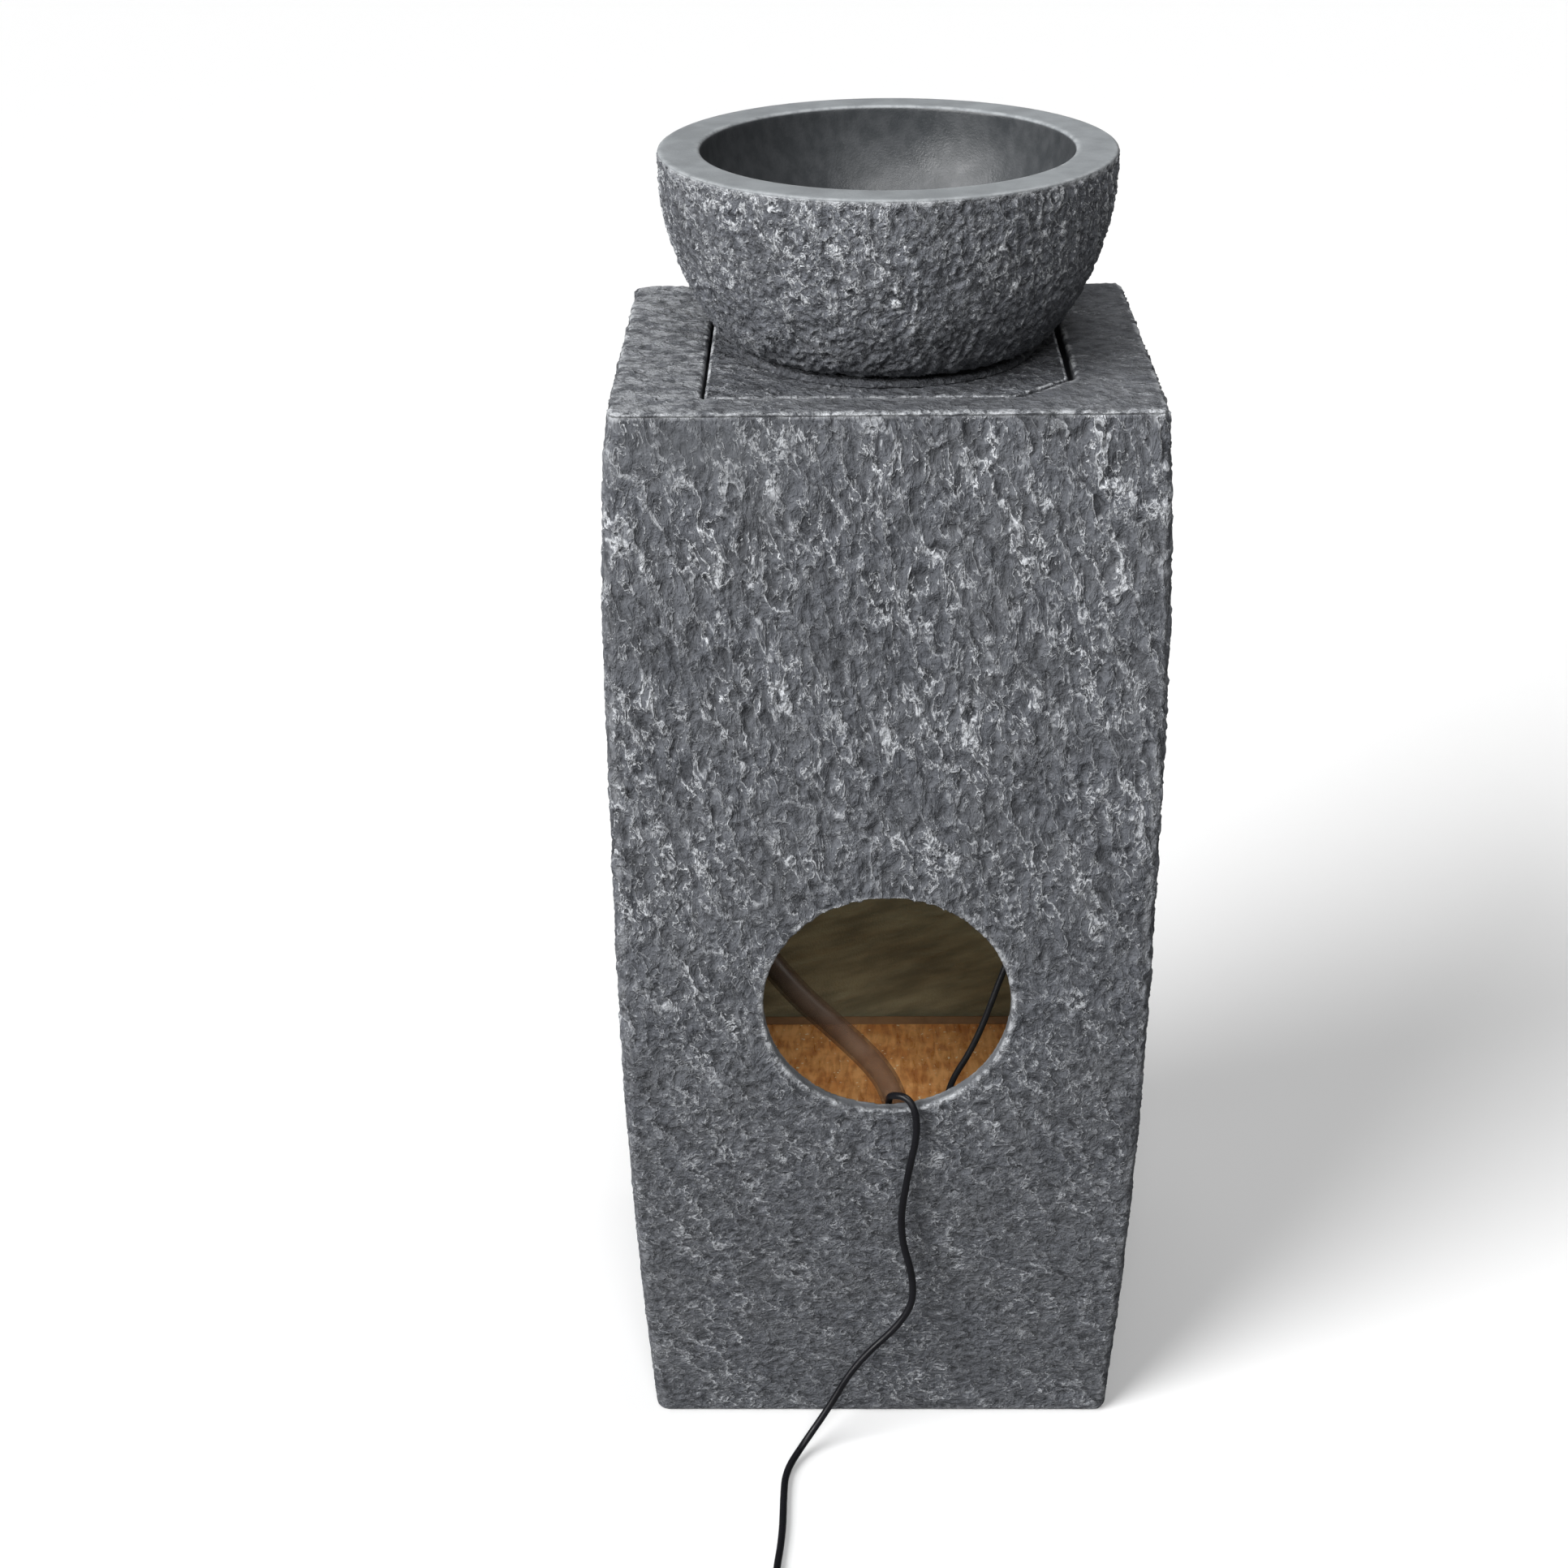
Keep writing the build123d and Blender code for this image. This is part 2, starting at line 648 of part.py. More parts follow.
# Lamp lead from the pump's gland, up the right side, to the lamp board
lead_end_x = lid_x + lamp_path_radius
lead_route = [
    (*lamp_place, lamp_gland_top),
    (*lamp_place, lamp_gland_top + 14),
    (59, -76, 254),
    (75, -68, 302),
    (96, -54, 350),
    (104, -40, 412),
    (98, -26, 474),
    (78, -12, 536),
    (50, -3, 592),
    (lead_end_x, 0, plate_underside - 36),
    (lead_end_x, 0, lamp_base),
]
made["lamp_lead"] = tube("lamp_lead", lead_route, lead_radius)

# Power cord: over the lip of the access hole, down the back, along the ground to the coil
coil_level = cord_radius + tie_thickness + coil_lift
coil_start = (coil_x - coil_outer_radius, coil_y, coil_level)
cord_route = [
    (*power_place, power_gland_top),
    (*power_place, power_gland_top + 9),
    (2, -105, 232),
    (-2, -115, 240),
    (3, -125, 251),
    (17, -132.5, 253),
    (21.5, -138, 233),
    (14.6, -137.5, 196),
    (10, -137.5, 156),
    (21, -138, 115),
    (15.5, -140, 91),
    (-16.5, -145, 60),
    (-33.5, -152, 30),
    (-50, -160, 7),
    (-61, -180, 2.5),
    (-61.8, -204, 2.35),
    (-62, -236, 2.35),
    (-66, -272, 2.35),
    (coil_start[0], -316, coil_level),
    (coil_start[0], coil_y + cord_diameter, coil_level),
]
made["power_cord"] = tube("power_cord", cord_route, cord_radius)


def coil_at(turn):
    """Place on the coil's centre line, in turns from its start: in on the ground, up a layer, and out again."""
    half = coil_turns_each_way
    radius = coil_outer_radius - coil_spacing * (half - abs(turn - half))
    climb = (turn - half + coil_climb_turns / 2) / coil_climb_turns
    climb = min(1.0, max(0.0, climb))
    level = coil_level + coil_spacing * climb * climb * (3 - 2 * climb)
    angle = math.pi + 2 * math.pi * turn
    return Vector(coil_x + radius * math.cos(angle), coil_y + radius * math.sin(angle), level)


def coil_heading(turn):
    """Direction of the coil's centre line; at its ends and where it reverses it goes straight round."""
    half = coil_turns_each_way
    angle = math.pi + 2 * math.pi * turn
    step = 0.01
    if turn in (0, half, 2 * half):
        rise = (coil_at(min(turn + step, 2 * half)).Z - coil_at(max(turn - step, 0)).Z) / (2 * step)
        radius = coil_outer_radius - coil_spacing * (half - abs(turn - half))
        round_way = Vector(-math.sin(angle), math.cos(angle), 0) * (2 * math.pi * radius)
        return (round_way + Vector(0, 0, rise)).normalized()
    return (coil_at(turn + step) - coil_at(turn - step)).normalized()


def biarc(start, start_way, end, end_way):
    """Two arcs that leave start and reach end in the given directions."""
    chord = end - start
    both = start_way + end_way
    a = 2 * (start_way.dot(end_way) - 1)
    b = -2 * chord.dot(both)
    c = chord.dot(chord)
    reach = -c / b
    if abs(a) > 1e-9:
        reach = (-b - math.sqrt(b * b - 4 * a * c)) / (2 * a)
    corner_one = start + start_way * reach
    corner_two = end - end_way * reach
    middle = (corner_one + corner_two) * 0.5
    first = TangentArc(start, middle, tangent=start_way)
    second = TangentArc(middle, end, tangent=corner_two - corner_one)
    return [first, second]


quarters = int(8 * coil_turns_each_way)
stops = [index / 4 for index in range(quarters + 1)]
entry = Vector(coil_start[0], coil_y + cord_diameter, coil_level)
pieces = [Line(entry, coil_at(0))]
for here, there in zip(stops, stops[1:]):
    pieces += biarc(coil_at(here), coil_heading(here), coil_at(there), coil_heading(there))
coil_top = coil_at(2 * coil_turns_each_way)
coil_exit = coil_top - Vector(0, coil_exit_run, 0)
pieces.append(Line(coil_top, coil_exit))
coil_path = Wire([piece.edge() for piece in pieces])
coil_solid = sweep(Plane(origin=entry, z_dir=(0, -1, 0)) * Circle(cord_radius), path=coil_path)
made["cord_coil"] = coil_solid
samples = [coil_at(2 * coil_turns_each_way * index / 900) for index in range(901)]
skip = 40
least = min(
    (samples[i] - samples[j]).length for i in range(0, 901, 2) for j in range(i + skip, 901, 2)
)
coil_share = coil_solid.volume / (math.pi * cord_radius**2 * coil_path.length)
print(
    f"cord_coil: length {coil_path.length:.1f}, least gap to itself {least - cord_diameter:.2f},"
    f" volume share {coil_share:.4f}"
)

# Tie around the turns of the coil
bundle_inner = coil_outer_radius - coil_spacing * coil_turns_each_way - cord_radius - tie_gap
bundle_outer = coil_outer_radius + cord_radius + tie_gap
bundle_top = coil_level + coil_spacing + cord_radius + tie_gap
bundle_width = bundle_outer - bundle_inner
bundle_low = tie_thickness
bundle_height = bundle_top - bundle_low
tie_centre = Pos((bundle_inner + bundle_outer) / 2, 0, bundle_low + bundle_height / 2)
tie = Box(bundle_width + 2 * tie_thickness, tie_width, bundle_height + 2 * tie_thickness)
tie = fillet(tie.edges().filter_by(Axis.Y), 2.0)
tie_inside = Box(bundle_width, tie_width + 2, bundle_height)
tie -= fillet(tie_inside.edges().filter_by(Axis.Y), 1.0)
made["cord_tie"] = Pos(coil_x, coil_y, 0) * Rot(0, 0, tie_angle) * tie_centre * tie

# Two-pin plug that lies beside the coil
plug_axis = plug_thickness / 2
boot_end = coil_exit.Y - plug_boot_length
boot = Pos(coil_exit.X, coil_exit.Y - plug_boot_length / 2, coil_exit.Z) * Rot(90, 0, 0)
boot = boot * Cone(plug_boot_tip_radius, plug_boot_radius, plug_boot_length)
plug_body = Box(plug_width, plug_length, plug_thickness)
plug_body = fillet(plug_body.edges().filter_by(Axis.Y), plug_edge_radius)
plug_body = fillet(plug_body.edges().group_by(Axis.Y)[-1], plug_edge_radius - 1)
plug_body = Pos(coil_exit.X, boot_end - plug_length / 2 + 2, plug_axis) * plug_body
plug_body += boot
plug_face = boot_end - plug_length + 2
pins = []
for side in (-1, 1):
    pin = Pos(coil_exit.X + side * pin_spacing / 2, plug_face - (pin_length - pin_root) / 2, plug_axis)
    pin = pin * Rot(90, 0, 0) * Cylinder(pin_radius, pin_length + pin_root)
    plug_body -= pin
    pins.append(pin)
made["plug_body"] = plug_body
made["plug_pins"] = Compound(children=[pin for pin in pins])

total = coil_path.length + FilletPolyline(*cord_route, radius=route_radii(cord_route)).length
print(f"power cord with coil: {total:.0f} mm")
for name, shape in made.items():
    export_step(shape, f"parts/{name}.step")
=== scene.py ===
import json
import math

import bpy
import numpy as np
from mathutils import Matrix, Vector


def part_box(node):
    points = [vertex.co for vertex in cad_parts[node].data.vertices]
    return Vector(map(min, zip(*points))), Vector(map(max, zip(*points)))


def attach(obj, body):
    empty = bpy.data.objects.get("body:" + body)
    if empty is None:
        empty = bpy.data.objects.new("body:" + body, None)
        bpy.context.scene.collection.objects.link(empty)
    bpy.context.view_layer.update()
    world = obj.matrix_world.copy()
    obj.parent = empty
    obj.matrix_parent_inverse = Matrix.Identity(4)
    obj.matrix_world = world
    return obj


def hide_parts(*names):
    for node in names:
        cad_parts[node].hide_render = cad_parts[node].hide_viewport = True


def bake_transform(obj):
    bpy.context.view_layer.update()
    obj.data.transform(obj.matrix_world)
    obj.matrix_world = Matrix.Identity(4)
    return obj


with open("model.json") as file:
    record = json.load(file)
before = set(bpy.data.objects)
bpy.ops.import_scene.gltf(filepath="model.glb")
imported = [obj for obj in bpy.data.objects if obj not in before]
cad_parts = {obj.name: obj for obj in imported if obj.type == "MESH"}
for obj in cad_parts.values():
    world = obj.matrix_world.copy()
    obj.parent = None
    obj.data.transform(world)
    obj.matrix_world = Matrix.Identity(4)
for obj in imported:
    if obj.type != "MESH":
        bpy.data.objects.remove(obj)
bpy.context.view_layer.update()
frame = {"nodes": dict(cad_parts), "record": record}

# Garden fountain, dressed around its solids. Places are in metres.
# Sizes of the stone's relief are in millimetres.
MM = 0.001

# Camera, at the photograph's viewing angle
IMAGE_SIDE = 1932
FOCAL_PIXELS = 3105.3
SENSOR_WIDTH = 36.0
CAMERA_PLACE = Vector((-0.0312, -1.4014, 1.0990))
CAMERA_YAW = math.radians(-1.167)
CAMERA_PITCH = math.radians(26.647)
CAMERA_ROLL = math.radians(0.766)

# Cords and hose, with the routes of their solids
CORD_DIAMETER = 0.0044
CORD_ROUTE = [
    (0.005, -0.10196, 0.213), (0.005, -0.10196, 0.219), (0.0045, -0.107, 0.2285), (0.0035, -0.1155, 0.2375),
    (0.005, -0.125, 0.2485), (0.017, -0.1325, 0.2505), (0.0215, -0.138, 0.232), (0.0146, -0.1375, 0.196),
    (0.010, -0.1375, 0.156), (0.021, -0.138, 0.115), (0.0155, -0.140, 0.091), (-0.0165, -0.145, 0.060),
    (-0.0335, -0.152, 0.030), (-0.050, -0.160, 0.007), (-0.061, -0.180, 0.0025), (-0.0618, -0.204, 0.00235),
    (-0.062, -0.236, 0.00235), (-0.066, -0.272, 0.00235), (-0.066, -0.316, 0.0035), (-0.066, -0.3476, 0.0035),
]
COIL_CENTRE = (-0.025, -0.352)
COIL_RADIUS = 0.041
COIL_SPACING = 0.0052
COIL_LEVEL = 0.0035
COIL_TURNS = 6
COIL_POINTS_PER_TURN = 20
COIL_CLIMB = 0.5
COIL_EXIT = 0.024
HOSE_DIAMETER = 0.016
HOSE_BORE = 0.0122
HOSE_ROUTE = [
    (0.009667, -0.08736, 0.1965), (0.009667, -0.08736, 0.202), (0.009667, -0.08736, 0.216),
    (0.001, -0.085, 0.238), (-0.022, -0.0775, 0.260), (-0.056, -0.067, 0.288), (-0.090, -0.053, 0.331),
    (-0.100, -0.044, 0.402), (-0.081, -0.034, 0.479), (-0.037, -0.015, 0.549), (0.002, 0.0, 0.602),
    (0.002, 0.0, 0.6515),
]
LEAD_DIAMETER = 0.004
LEAD_ROUTE = [
    (0.041, -0.07736, 0.208), (0.041, -0.07736, 0.222), (0.059, -0.076, 0.254), (0.075, -0.068, 0.302),
    (0.096, -0.054, 0.350), (0.104, -0.040, 0.412), (0.098, -0.026, 0.474), (0.078, -0.012, 0.536),
    (0.050, -0.003, 0.592), (0.0305, 0.0, 0.628), (0.0305, 0.0, 0.655), (0.0305, 0.0, 0.716),
]

# Stone pieces: voxel sizes of the fine meshes, and the bowl's section
PILLAR_VOXEL = 0.0019
PLATE_VOXEL = 0.0010
FLOOR_VOXEL = 0.0025
BOWL_X = 0.002
BOWL_COLUMNS = 500
BOWL_ROW = 0.0015
BOWL_BASE = 0.682
BOWL_FOOT = (0.0895, 0.682)
BOWL_SHOULDER = (0.1195, 0.733)
BOWL_RIM = (0.1276, 0.790)
BOWL_FOOT_ROUNDING = 0.0132
RIM_INNER = (0.1033, 0.790)
RIM_EDGE = 0.0016
BOWL_INNER_SHOULDER = (0.093, 0.744)
BOWL_FLOOR = (0.066, 0.714)
STEM_HOLE = 0.0104

# Access hole in the near face, in millimetres
HOLE_X = 2.0
HOLE_HEIGHT = 314.0
HOLE_RADIUS = 73.0

# Regions of the pillar's shell, in millimetres: the near face's points lie in front of NEAR_FACE, bands
# run along the top, the lid's seat, the foot and the access hole, and a patch at the top left is smooth
NEAR_FACE = -100.0
DECK_BAND = 6.0
CHIPPED_BAND = 14.0
SEAT_BAND = 30.0
FOOT_BAND = 8.0
LIP_BAND = 4.0
WORN_LIP_BAND = 8.0
PATCH_X = -100.0
PATCH_HEIGHT = 655.0
PATCH_WIDTH = 50.0
PATCH_TALLNESS = 20.0

# The stone's relief, in millimetres: widths of its hollows along x, y and z, and how deep it is cut
PILLAR_HOLLOW = 10.0
PILLAR_SLANT = 0.12
DECK_HOLLOW = np.array((12.0, 10.0, 10.0))
BOWL_HOLLOW = 7.5
FOOT_HOLLOW = 7.0
LINING_HOLLOW = np.array((60.0, 60.0, 16.0))
LINING_SLANT = 0.3
FIBRE_HOLLOW = np.array((9.0, 20.0, 20.0))
PILLAR_LOW_DEPTH = 1.6
PILLAR_HIGH_DEPTH = 4.0
DECK_DEPTH = 1.2
PLATE_DEPTH = 1.5
BOWL_DEPTH = 4.0
BOWL_SLANT = 0.1
BOWL_STRETCH = 0.78
FOOT_DEPTH = 0.4
FIBRE_DEPTH = 1.2
EDGE_CHIP = 1.6

# Height of the relief, from 0 to 1, that reaches the solid's surface
RIDGE = 0.72

# Light: how bright the surroundings are, each sun's direction, strength and width in degrees,
# and each lamp's place, target, width and power in watts.
# The lamp in the pillar's hollow stands for the daylight that gets in.
AMBIENT = 0.11
FLOOR_SEEN = (0.95, 0.95, 0.95)
FLOOR_BOUNCE = (0.20, 0.20, 0.20)
FLOOR_GLOW = 0.01
FLOOR_REACH = 14.0
SUNS = {
    "key": ((-0.675, -0.528, 0.515), 3.95, 36.0),
    "front": ((0.04, -0.72, 0.69), 1.26, 20.0),
}
LAMPS = {
    "overhead": ((0.2, 0.1, 2.6), (0.0, 0.0, 0.7), 0.8, 9.0),
    "hollow": ((0.055, -0.108, 0.405), (0.020, 0.030, 0.180), 0.05, 0.16),
}

# Colours of the stone, how bright the painted shade leaves its hollows beside its ridges, and the pale paint
STONE_COOL = np.array((0.114, 0.122, 0.142))
STONE_WARM = np.array((0.138, 0.143, 0.153))
STONE_HOLLOW_PAINTED_SHADE = 0.38
STONE_PAINT = (0.69, 0.71, 0.74)


def make(tree, kind, inputs=None, **settings):
    """A node of that kind, with its settings, and its inputs set or linked by name or number."""
    made = tree.nodes.new(kind)
    for name, value in settings.items():
        setattr(made, name, value)
    for key, value in (inputs or {}).items():
        if isinstance(value, bpy.types.NodeSocket):
            tree.links.new(value, made.inputs[key])
        else:
            made.inputs[key].default_value = value
    return made


def calc(tree, operation, first, second=0.0, third=0.0, clamp=False):
    """What an operation makes of numbers."""
    inputs = {0: first, 1: second, 2: third}
    return make(tree, "ShaderNodeMath", inputs, operation=operation, use_clamp=clamp).outputs[0]


def move(tree, operation, first, second, third=(0.0, 0.0, 0.0)):
    """What an operation makes of vectors."""
    node = make(tree, "ShaderNodeVectorMath", {0: first, 1: second, 2: third}, operation=operation)
    return node.outputs["Value" if operation == "DOT_PRODUCT" else "Vector"]


def step(tree, value, low, high, start=0.0, end=1.0):
    """Eases from start to end as value goes from low to high."""
    inputs = {"Value": value, "From Min": low, "From Max": high, "To Min": start, "To Max": end}
    return make(tree, "ShaderNodeMapRange", inputs, interpolation_type="SMOOTHSTEP").outputs[0]


def noise(tree, coordinate, scale, detail=2.0, roughness=0.5, distortion=0.0):
    """A noise texture, whose outputs are a number around 0.5 and a colour."""
    inputs = {
        "Vector": coordinate, "Scale": scale, "Detail": detail, "Roughness": roughness,
        "Distortion": distortion,
    }
    return make(tree, "ShaderNodeTexNoise", inputs)


def mix(tree, share, first, second):
    """A colour between two."""
    inputs = {0: share}
    for key, value in ((6, first), (7, second)):
        inputs[key] = value if isinstance(value, bpy.types.NodeSocket) else (*value, 1.0)
    return make(tree, "ShaderNodeMix", inputs, data_type="RGBA").outputs[2]


def relief(tree, coordinate):
    """(height, crest) of the torn stone: height is 1 on the ridges and 0 at the bottom of a hollow, and
    crest is 1 along the broken ridge lines. One unit of the coordinate is one hollow's width."""
    warp = noise(tree, coordinate, 0.45, 3.0, 0.60).outputs[1]
    moved = move(tree, "MULTIPLY_ADD", warp, (1.7, 1.7, 1.7), coordinate)

    # Long, middling and small flakes, each rising slowly to a ragged ridge and dropping sharply behind it
    height, crest = 0.0, 0.0
    for scale, way, share, least in (
        (0.42, (0.42, 0.42, 0.15), 0.34, 0.40), (1.0, (0.70, 0.70, 0.16), 0.32, 0.36),
        (2.3, (1.1, 1.1, -0.9), 0.22, 0.36),
    ):
        wander = noise(tree, moved, 1.1 * scale, 4.0, 0.60).outputs[0]
        band = calc(tree, "MULTIPLY_ADD", wander, 2.6, move(tree, "DOT_PRODUCT", moved, way))
        rise = calc(tree, "FRACT", band)
        drop = step(tree, rise, 0.90, 1.0, 1.0, 0.0)
        strong = step(tree, noise(tree, coordinate, 0.6 * scale, 3.0, 0.6).outputs[0], least, least + 0.16)
        flake = calc(tree, "MULTIPLY", calc(tree, "POWER", rise, 2.5), drop)
        height = calc(tree, "MULTIPLY_ADD", calc(tree, "MULTIPLY", flake, strong), share, height)
        line = calc(tree, "MULTIPLY", calc(tree, "MULTIPLY", step(tree, rise, 0.79, 0.90), drop), strong)
        crest = calc(tree, "MAXIMUM", line, crest)

    # Broken grain over all
    grain = noise(tree, moved, 1.8, 4.0, 0.64).outputs[0]
    height = calc(tree, "MULTIPLY_ADD", calc(tree, "SUBTRACT", grain, 0.45), 1.30, height)
    return calc(tree, "ADD", height, 0.22, clamp=True), crest


def new_material(name):
    """A new material, its node tree and its shader."""
    material = bpy.data.materials.new(name)
    material.use_nodes = True
    return material, material.node_tree, material.node_tree.nodes["Principled BSDF"]


def object_coordinate(tree):
    """The place on the piece, in metres."""
    return make(tree, "ShaderNodeTexCoord").outputs["Object"]


def bump(tree, shader, height, distance, strength=1.0):
    """Fine relief, too small for geometry."""
    node = make(tree, "ShaderNodeBump", {"Strength": strength, "Distance": distance, "Height": height})
    tree.links.new(node.outputs["Normal"], shader.inputs["Normal"])


def stone_material(name, tone, bite, smooth, lining):
    """Dark cast stone with pale dry-brushed ridges and worn edges: tone is its brightness, and bite the
    height of its fine relief. It has the smooth colour where its relief is planed off, and the lining's
    two colours inside."""
    material, tree, shader = new_material(name)
    coordinate = make(tree, "ShaderNodeAttribute", attribute_name="chisel").outputs["Vector"]
    worn, dust_and_painted_light, lined, planed = (
        make(tree, "ShaderNodeAttribute", attribute_name=kept).outputs["Fac"]
        for kept in ("worn", "dust_and_painted_light", "lined", "planed")
    )
    place = object_coordinate(tree)
    height, crest = relief(tree, coordinate)

    # Bare stone, with painted shade darkening its hollows, and faint warm and cool clouds
    cloud = noise(tree, place, 34.0, 3.0, 0.6).outputs[0]
    low = mix(tree, cloud, STONE_HOLLOW_PAINTED_SHADE * tone * STONE_COOL, STONE_HOLLOW_PAINTED_SHADE * tone * STONE_WARM)
    high = mix(tree, cloud, tone * STONE_COOL, tone * STONE_WARM)
    stone = mix(tree, step(tree, height, 0.05, 0.55), low, high)
    # Painted shade: up to a quarter darker where the attribute read above is low, towards the foot and the
    # right
    stone = mix(tree, step(tree, dust_and_painted_light, 0.3, 1.3, 0.26, 0.0), stone, (0.0, 0.0, 0.0))

    # Pale paint dragged over the ridges, more of it where the attribute read above is high, which adds
    # painted light on the left
    patch = step(tree, noise(tree, place, 24.0, 3.0, 0.6).outputs[0], 0.38, 0.62, 0.32, 1.0)
    speckle = step(tree, noise(tree, place, 300.0, 4.0, 0.72).outputs[0], 0.36, 0.53)
    top = step(tree, height, 0.66, 1.0, 0.0, 0.28)
    brushed = calc(tree, "MULTIPLY", calc(tree, "MAXIMUM", crest, top), speckle)
    brushed = calc(tree, "MULTIPLY", calc(tree, "MULTIPLY", brushed, patch), dust_and_painted_light)
    scuff = step(tree, noise(tree, place, 90.0, 6.0, 0.75).outputs[0], 0.42, 0.58)
    rubbed = calc(tree, "MULTIPLY", worn, scuff)
    pale = calc(tree, "MAXIMUM", brushed, calc(tree, "MULTIPLY", rubbed, 0.9), clamp=True)
    stone = mix(tree, pale, stone, STONE_PAINT)

    # Smooth, planed stone
    brush = noise(tree, move(tree, "MULTIPLY", place, (0.3, 0.3, 1.0)), 160.0, 4.0, 0.6).outputs[0]
    dark_smooth = tuple(0.78 * part for part in smooth)
    plain = mix(tree, step(tree, brush, 0.3, 0.7), dark_smooth, smooth)
    plain = mix(tree, calc(tree, "MULTIPLY", rubbed, 0.3), plain, (0.55, 0.57, 0.585))
    stone = mix(tree, planed, stone, plain)

    # Lining, in streaks
    streak = noise(tree, coordinate, 1.0, 3.0, 0.55).outputs[0]
    inner = mix(tree, step(tree, streak, 0.30, 0.70), *lining)
    tree.links.new(mix(tree, lined, stone, inner), shader.inputs["Base Color"])

    # Gloss, which the planed stone has most of, and fine relief
    rough = step(tree, cloud, 0.3, 0.7, 0.62, 0.82)
    gloss = calc(tree, "MULTIPLY", calc(tree, "MULTIPLY", planed, calc(tree, "ADD", lined, 0.5)), 0.21)
    tree.links.new(calc(tree, "SUBTRACT", rough, gloss), shader.inputs["Roughness"])
    sheen = step(tree, calc(tree, "MULTIPLY", planed, lined), 0.0, 1.0, 0.25, 0.50)
    tree.links.new(sheen, shader.inputs["Specular IOR Level"])
    grit = noise(tree, place, 700.0, 3.0, 0.6).outputs[0]
    bare = calc(tree, "SUBTRACT", 1.0, calc(tree, "MAXIMUM", planed, calc(tree, "MULTIPLY", lined, 0.7)))
    coarse = calc(tree, "MULTIPLY", height, bare)
    fine = step(tree, planed, 0.0, 1.0, 0.20, 0.04)
    grain = calc(tree, "MULTIPLY_ADD", grit, fine, coarse)
    bump(tree, shader, grain, bite, 0.9)
    return material


def fibre_material(name):
    """Tan glass fibre and resin: mottled, with short strands that run front to back and small glints painted
    on as pale specks.
    """
    material, tree, shader = new_material(name)
    place = object_coordinate(tree)
    strand = noise(tree, move(tree, "MULTIPLY", place, (1.0, 0.20, 1.0)), 240.0, 4.0, 0.55, 0.6).outputs[0]
    cloud = noise(tree, place, 60.0, 4.0, 0.65).outputs[0]
    mottled = step(tree, cloud, 0.35, 0.65)
    pale_tan = mix(tree, mottled, (0.74, 0.31, 0.095), (0.90, 0.47, 0.180))
    dark_tan = mix(tree, mottled, (0.44, 0.155, 0.044), (0.68, 0.31, 0.100))
    tan = mix(tree, step(tree, strand, 0.35, 0.65), dark_tan, pale_tan)
    # Painted glints: pale specks in the base colour
    painted_glint = step(tree, noise(tree, place, 330.0, 2.0, 0.5).outputs[0], 0.66, 0.74)
    tree.links.new(mix(tree, painted_glint, tan, (0.92, 0.76, 0.50)), shader.inputs["Base Color"])
    tree.links.new(step(tree, strand, 0.3, 0.7, 0.26, 0.50), shader.inputs["Roughness"])
    bump(tree, shader, strand, 0.0012, 0.8)
    return material


def moulded(name, colour, roughness, grain=900.0, depth=0.0002, cloudy=0.18, metallic=0.0):
    """Moulded plastic, rubber or plated metal: fine grain, a faint cloudy shade and an uneven gloss."""
    material, tree, shader = new_material(name)
    place = object_coordinate(tree)
    cloud = noise(tree, place, 45.0, 3.0, 0.6).outputs[0]
    darker = tuple(part * (1.0 - cloudy) for part in colour)
    lighter = tuple(min(1.0, part * (1.0 + cloudy)) for part in colour)
    tree.links.new(mix(tree, step(tree, cloud, 0.3, 0.7), darker, lighter), shader.inputs["Base Color"])
    smear = noise(tree, place, 130.0, 2.0).outputs[0]
    uneven = step(tree, smear, 0.3, 0.7, roughness - 0.07, roughness + 0.07)
    tree.links.new(uneven, shader.inputs["Roughness"])
    shader.inputs["Metallic"].default_value = metallic
    shader.inputs["Specular IOR Level"].default_value = 0.22
    bump(tree, shader, noise(tree, place, grain, 2.0).outputs[0], depth, 0.6)
    return material


def hose_material(name):
    """Thin brown see-through vinyl with a film of dirt inside, and painted shade that darkens it higher up.
    """
    material, tree, shader = new_material(name)
    place = object_coordinate(tree)
    film = noise(tree, place, 60.0, 4.0, 0.6).outputs[0]
    brown = mix(tree, step(tree, film, 0.3, 0.7), (0.15, 0.080, 0.050), (0.23, 0.135, 0.085))
    level = make(tree, "ShaderNodeSeparateXYZ", {0: place}).outputs["Z"]
    # Painted shade: nearly black higher up the hose
    brown = mix(tree, step(tree, level, 0.225, 0.300, 0.0, 0.80), brown, (0.012, 0.009, 0.007))
    tree.links.new(brown, shader.inputs["Base Color"])
    tree.links.new(step(tree, film, 0.3, 0.7, 0.34, 0.48), shader.inputs["Roughness"])
    tree.links.new(step(tree, film, 0.3, 0.7, 0.36, 0.50), shader.inputs["Alpha"])
    shader.inputs["IOR"].default_value = 1.3
    return material


def lens_material(name):
    """Frosted clear plastic."""
    material, tree, shader = new_material(name)
    place = object_coordinate(tree)
    frost = noise(tree, place, 500.0, 3.0, 0.6).outputs[0]
    tree.links.new(mix(tree, frost, (0.78, 0.82, 0.84), (0.92, 0.93, 0.92)), shader.inputs["Base Color"])
    tree.links.new(step(tree, frost, 0.3, 0.7, 0.24, 0.42), shader.inputs["Roughness"])
    shader.inputs["Transmission Weight"].default_value = 0.8
    bump(tree, shader, frost, 0.0003, 0.5)
    return material


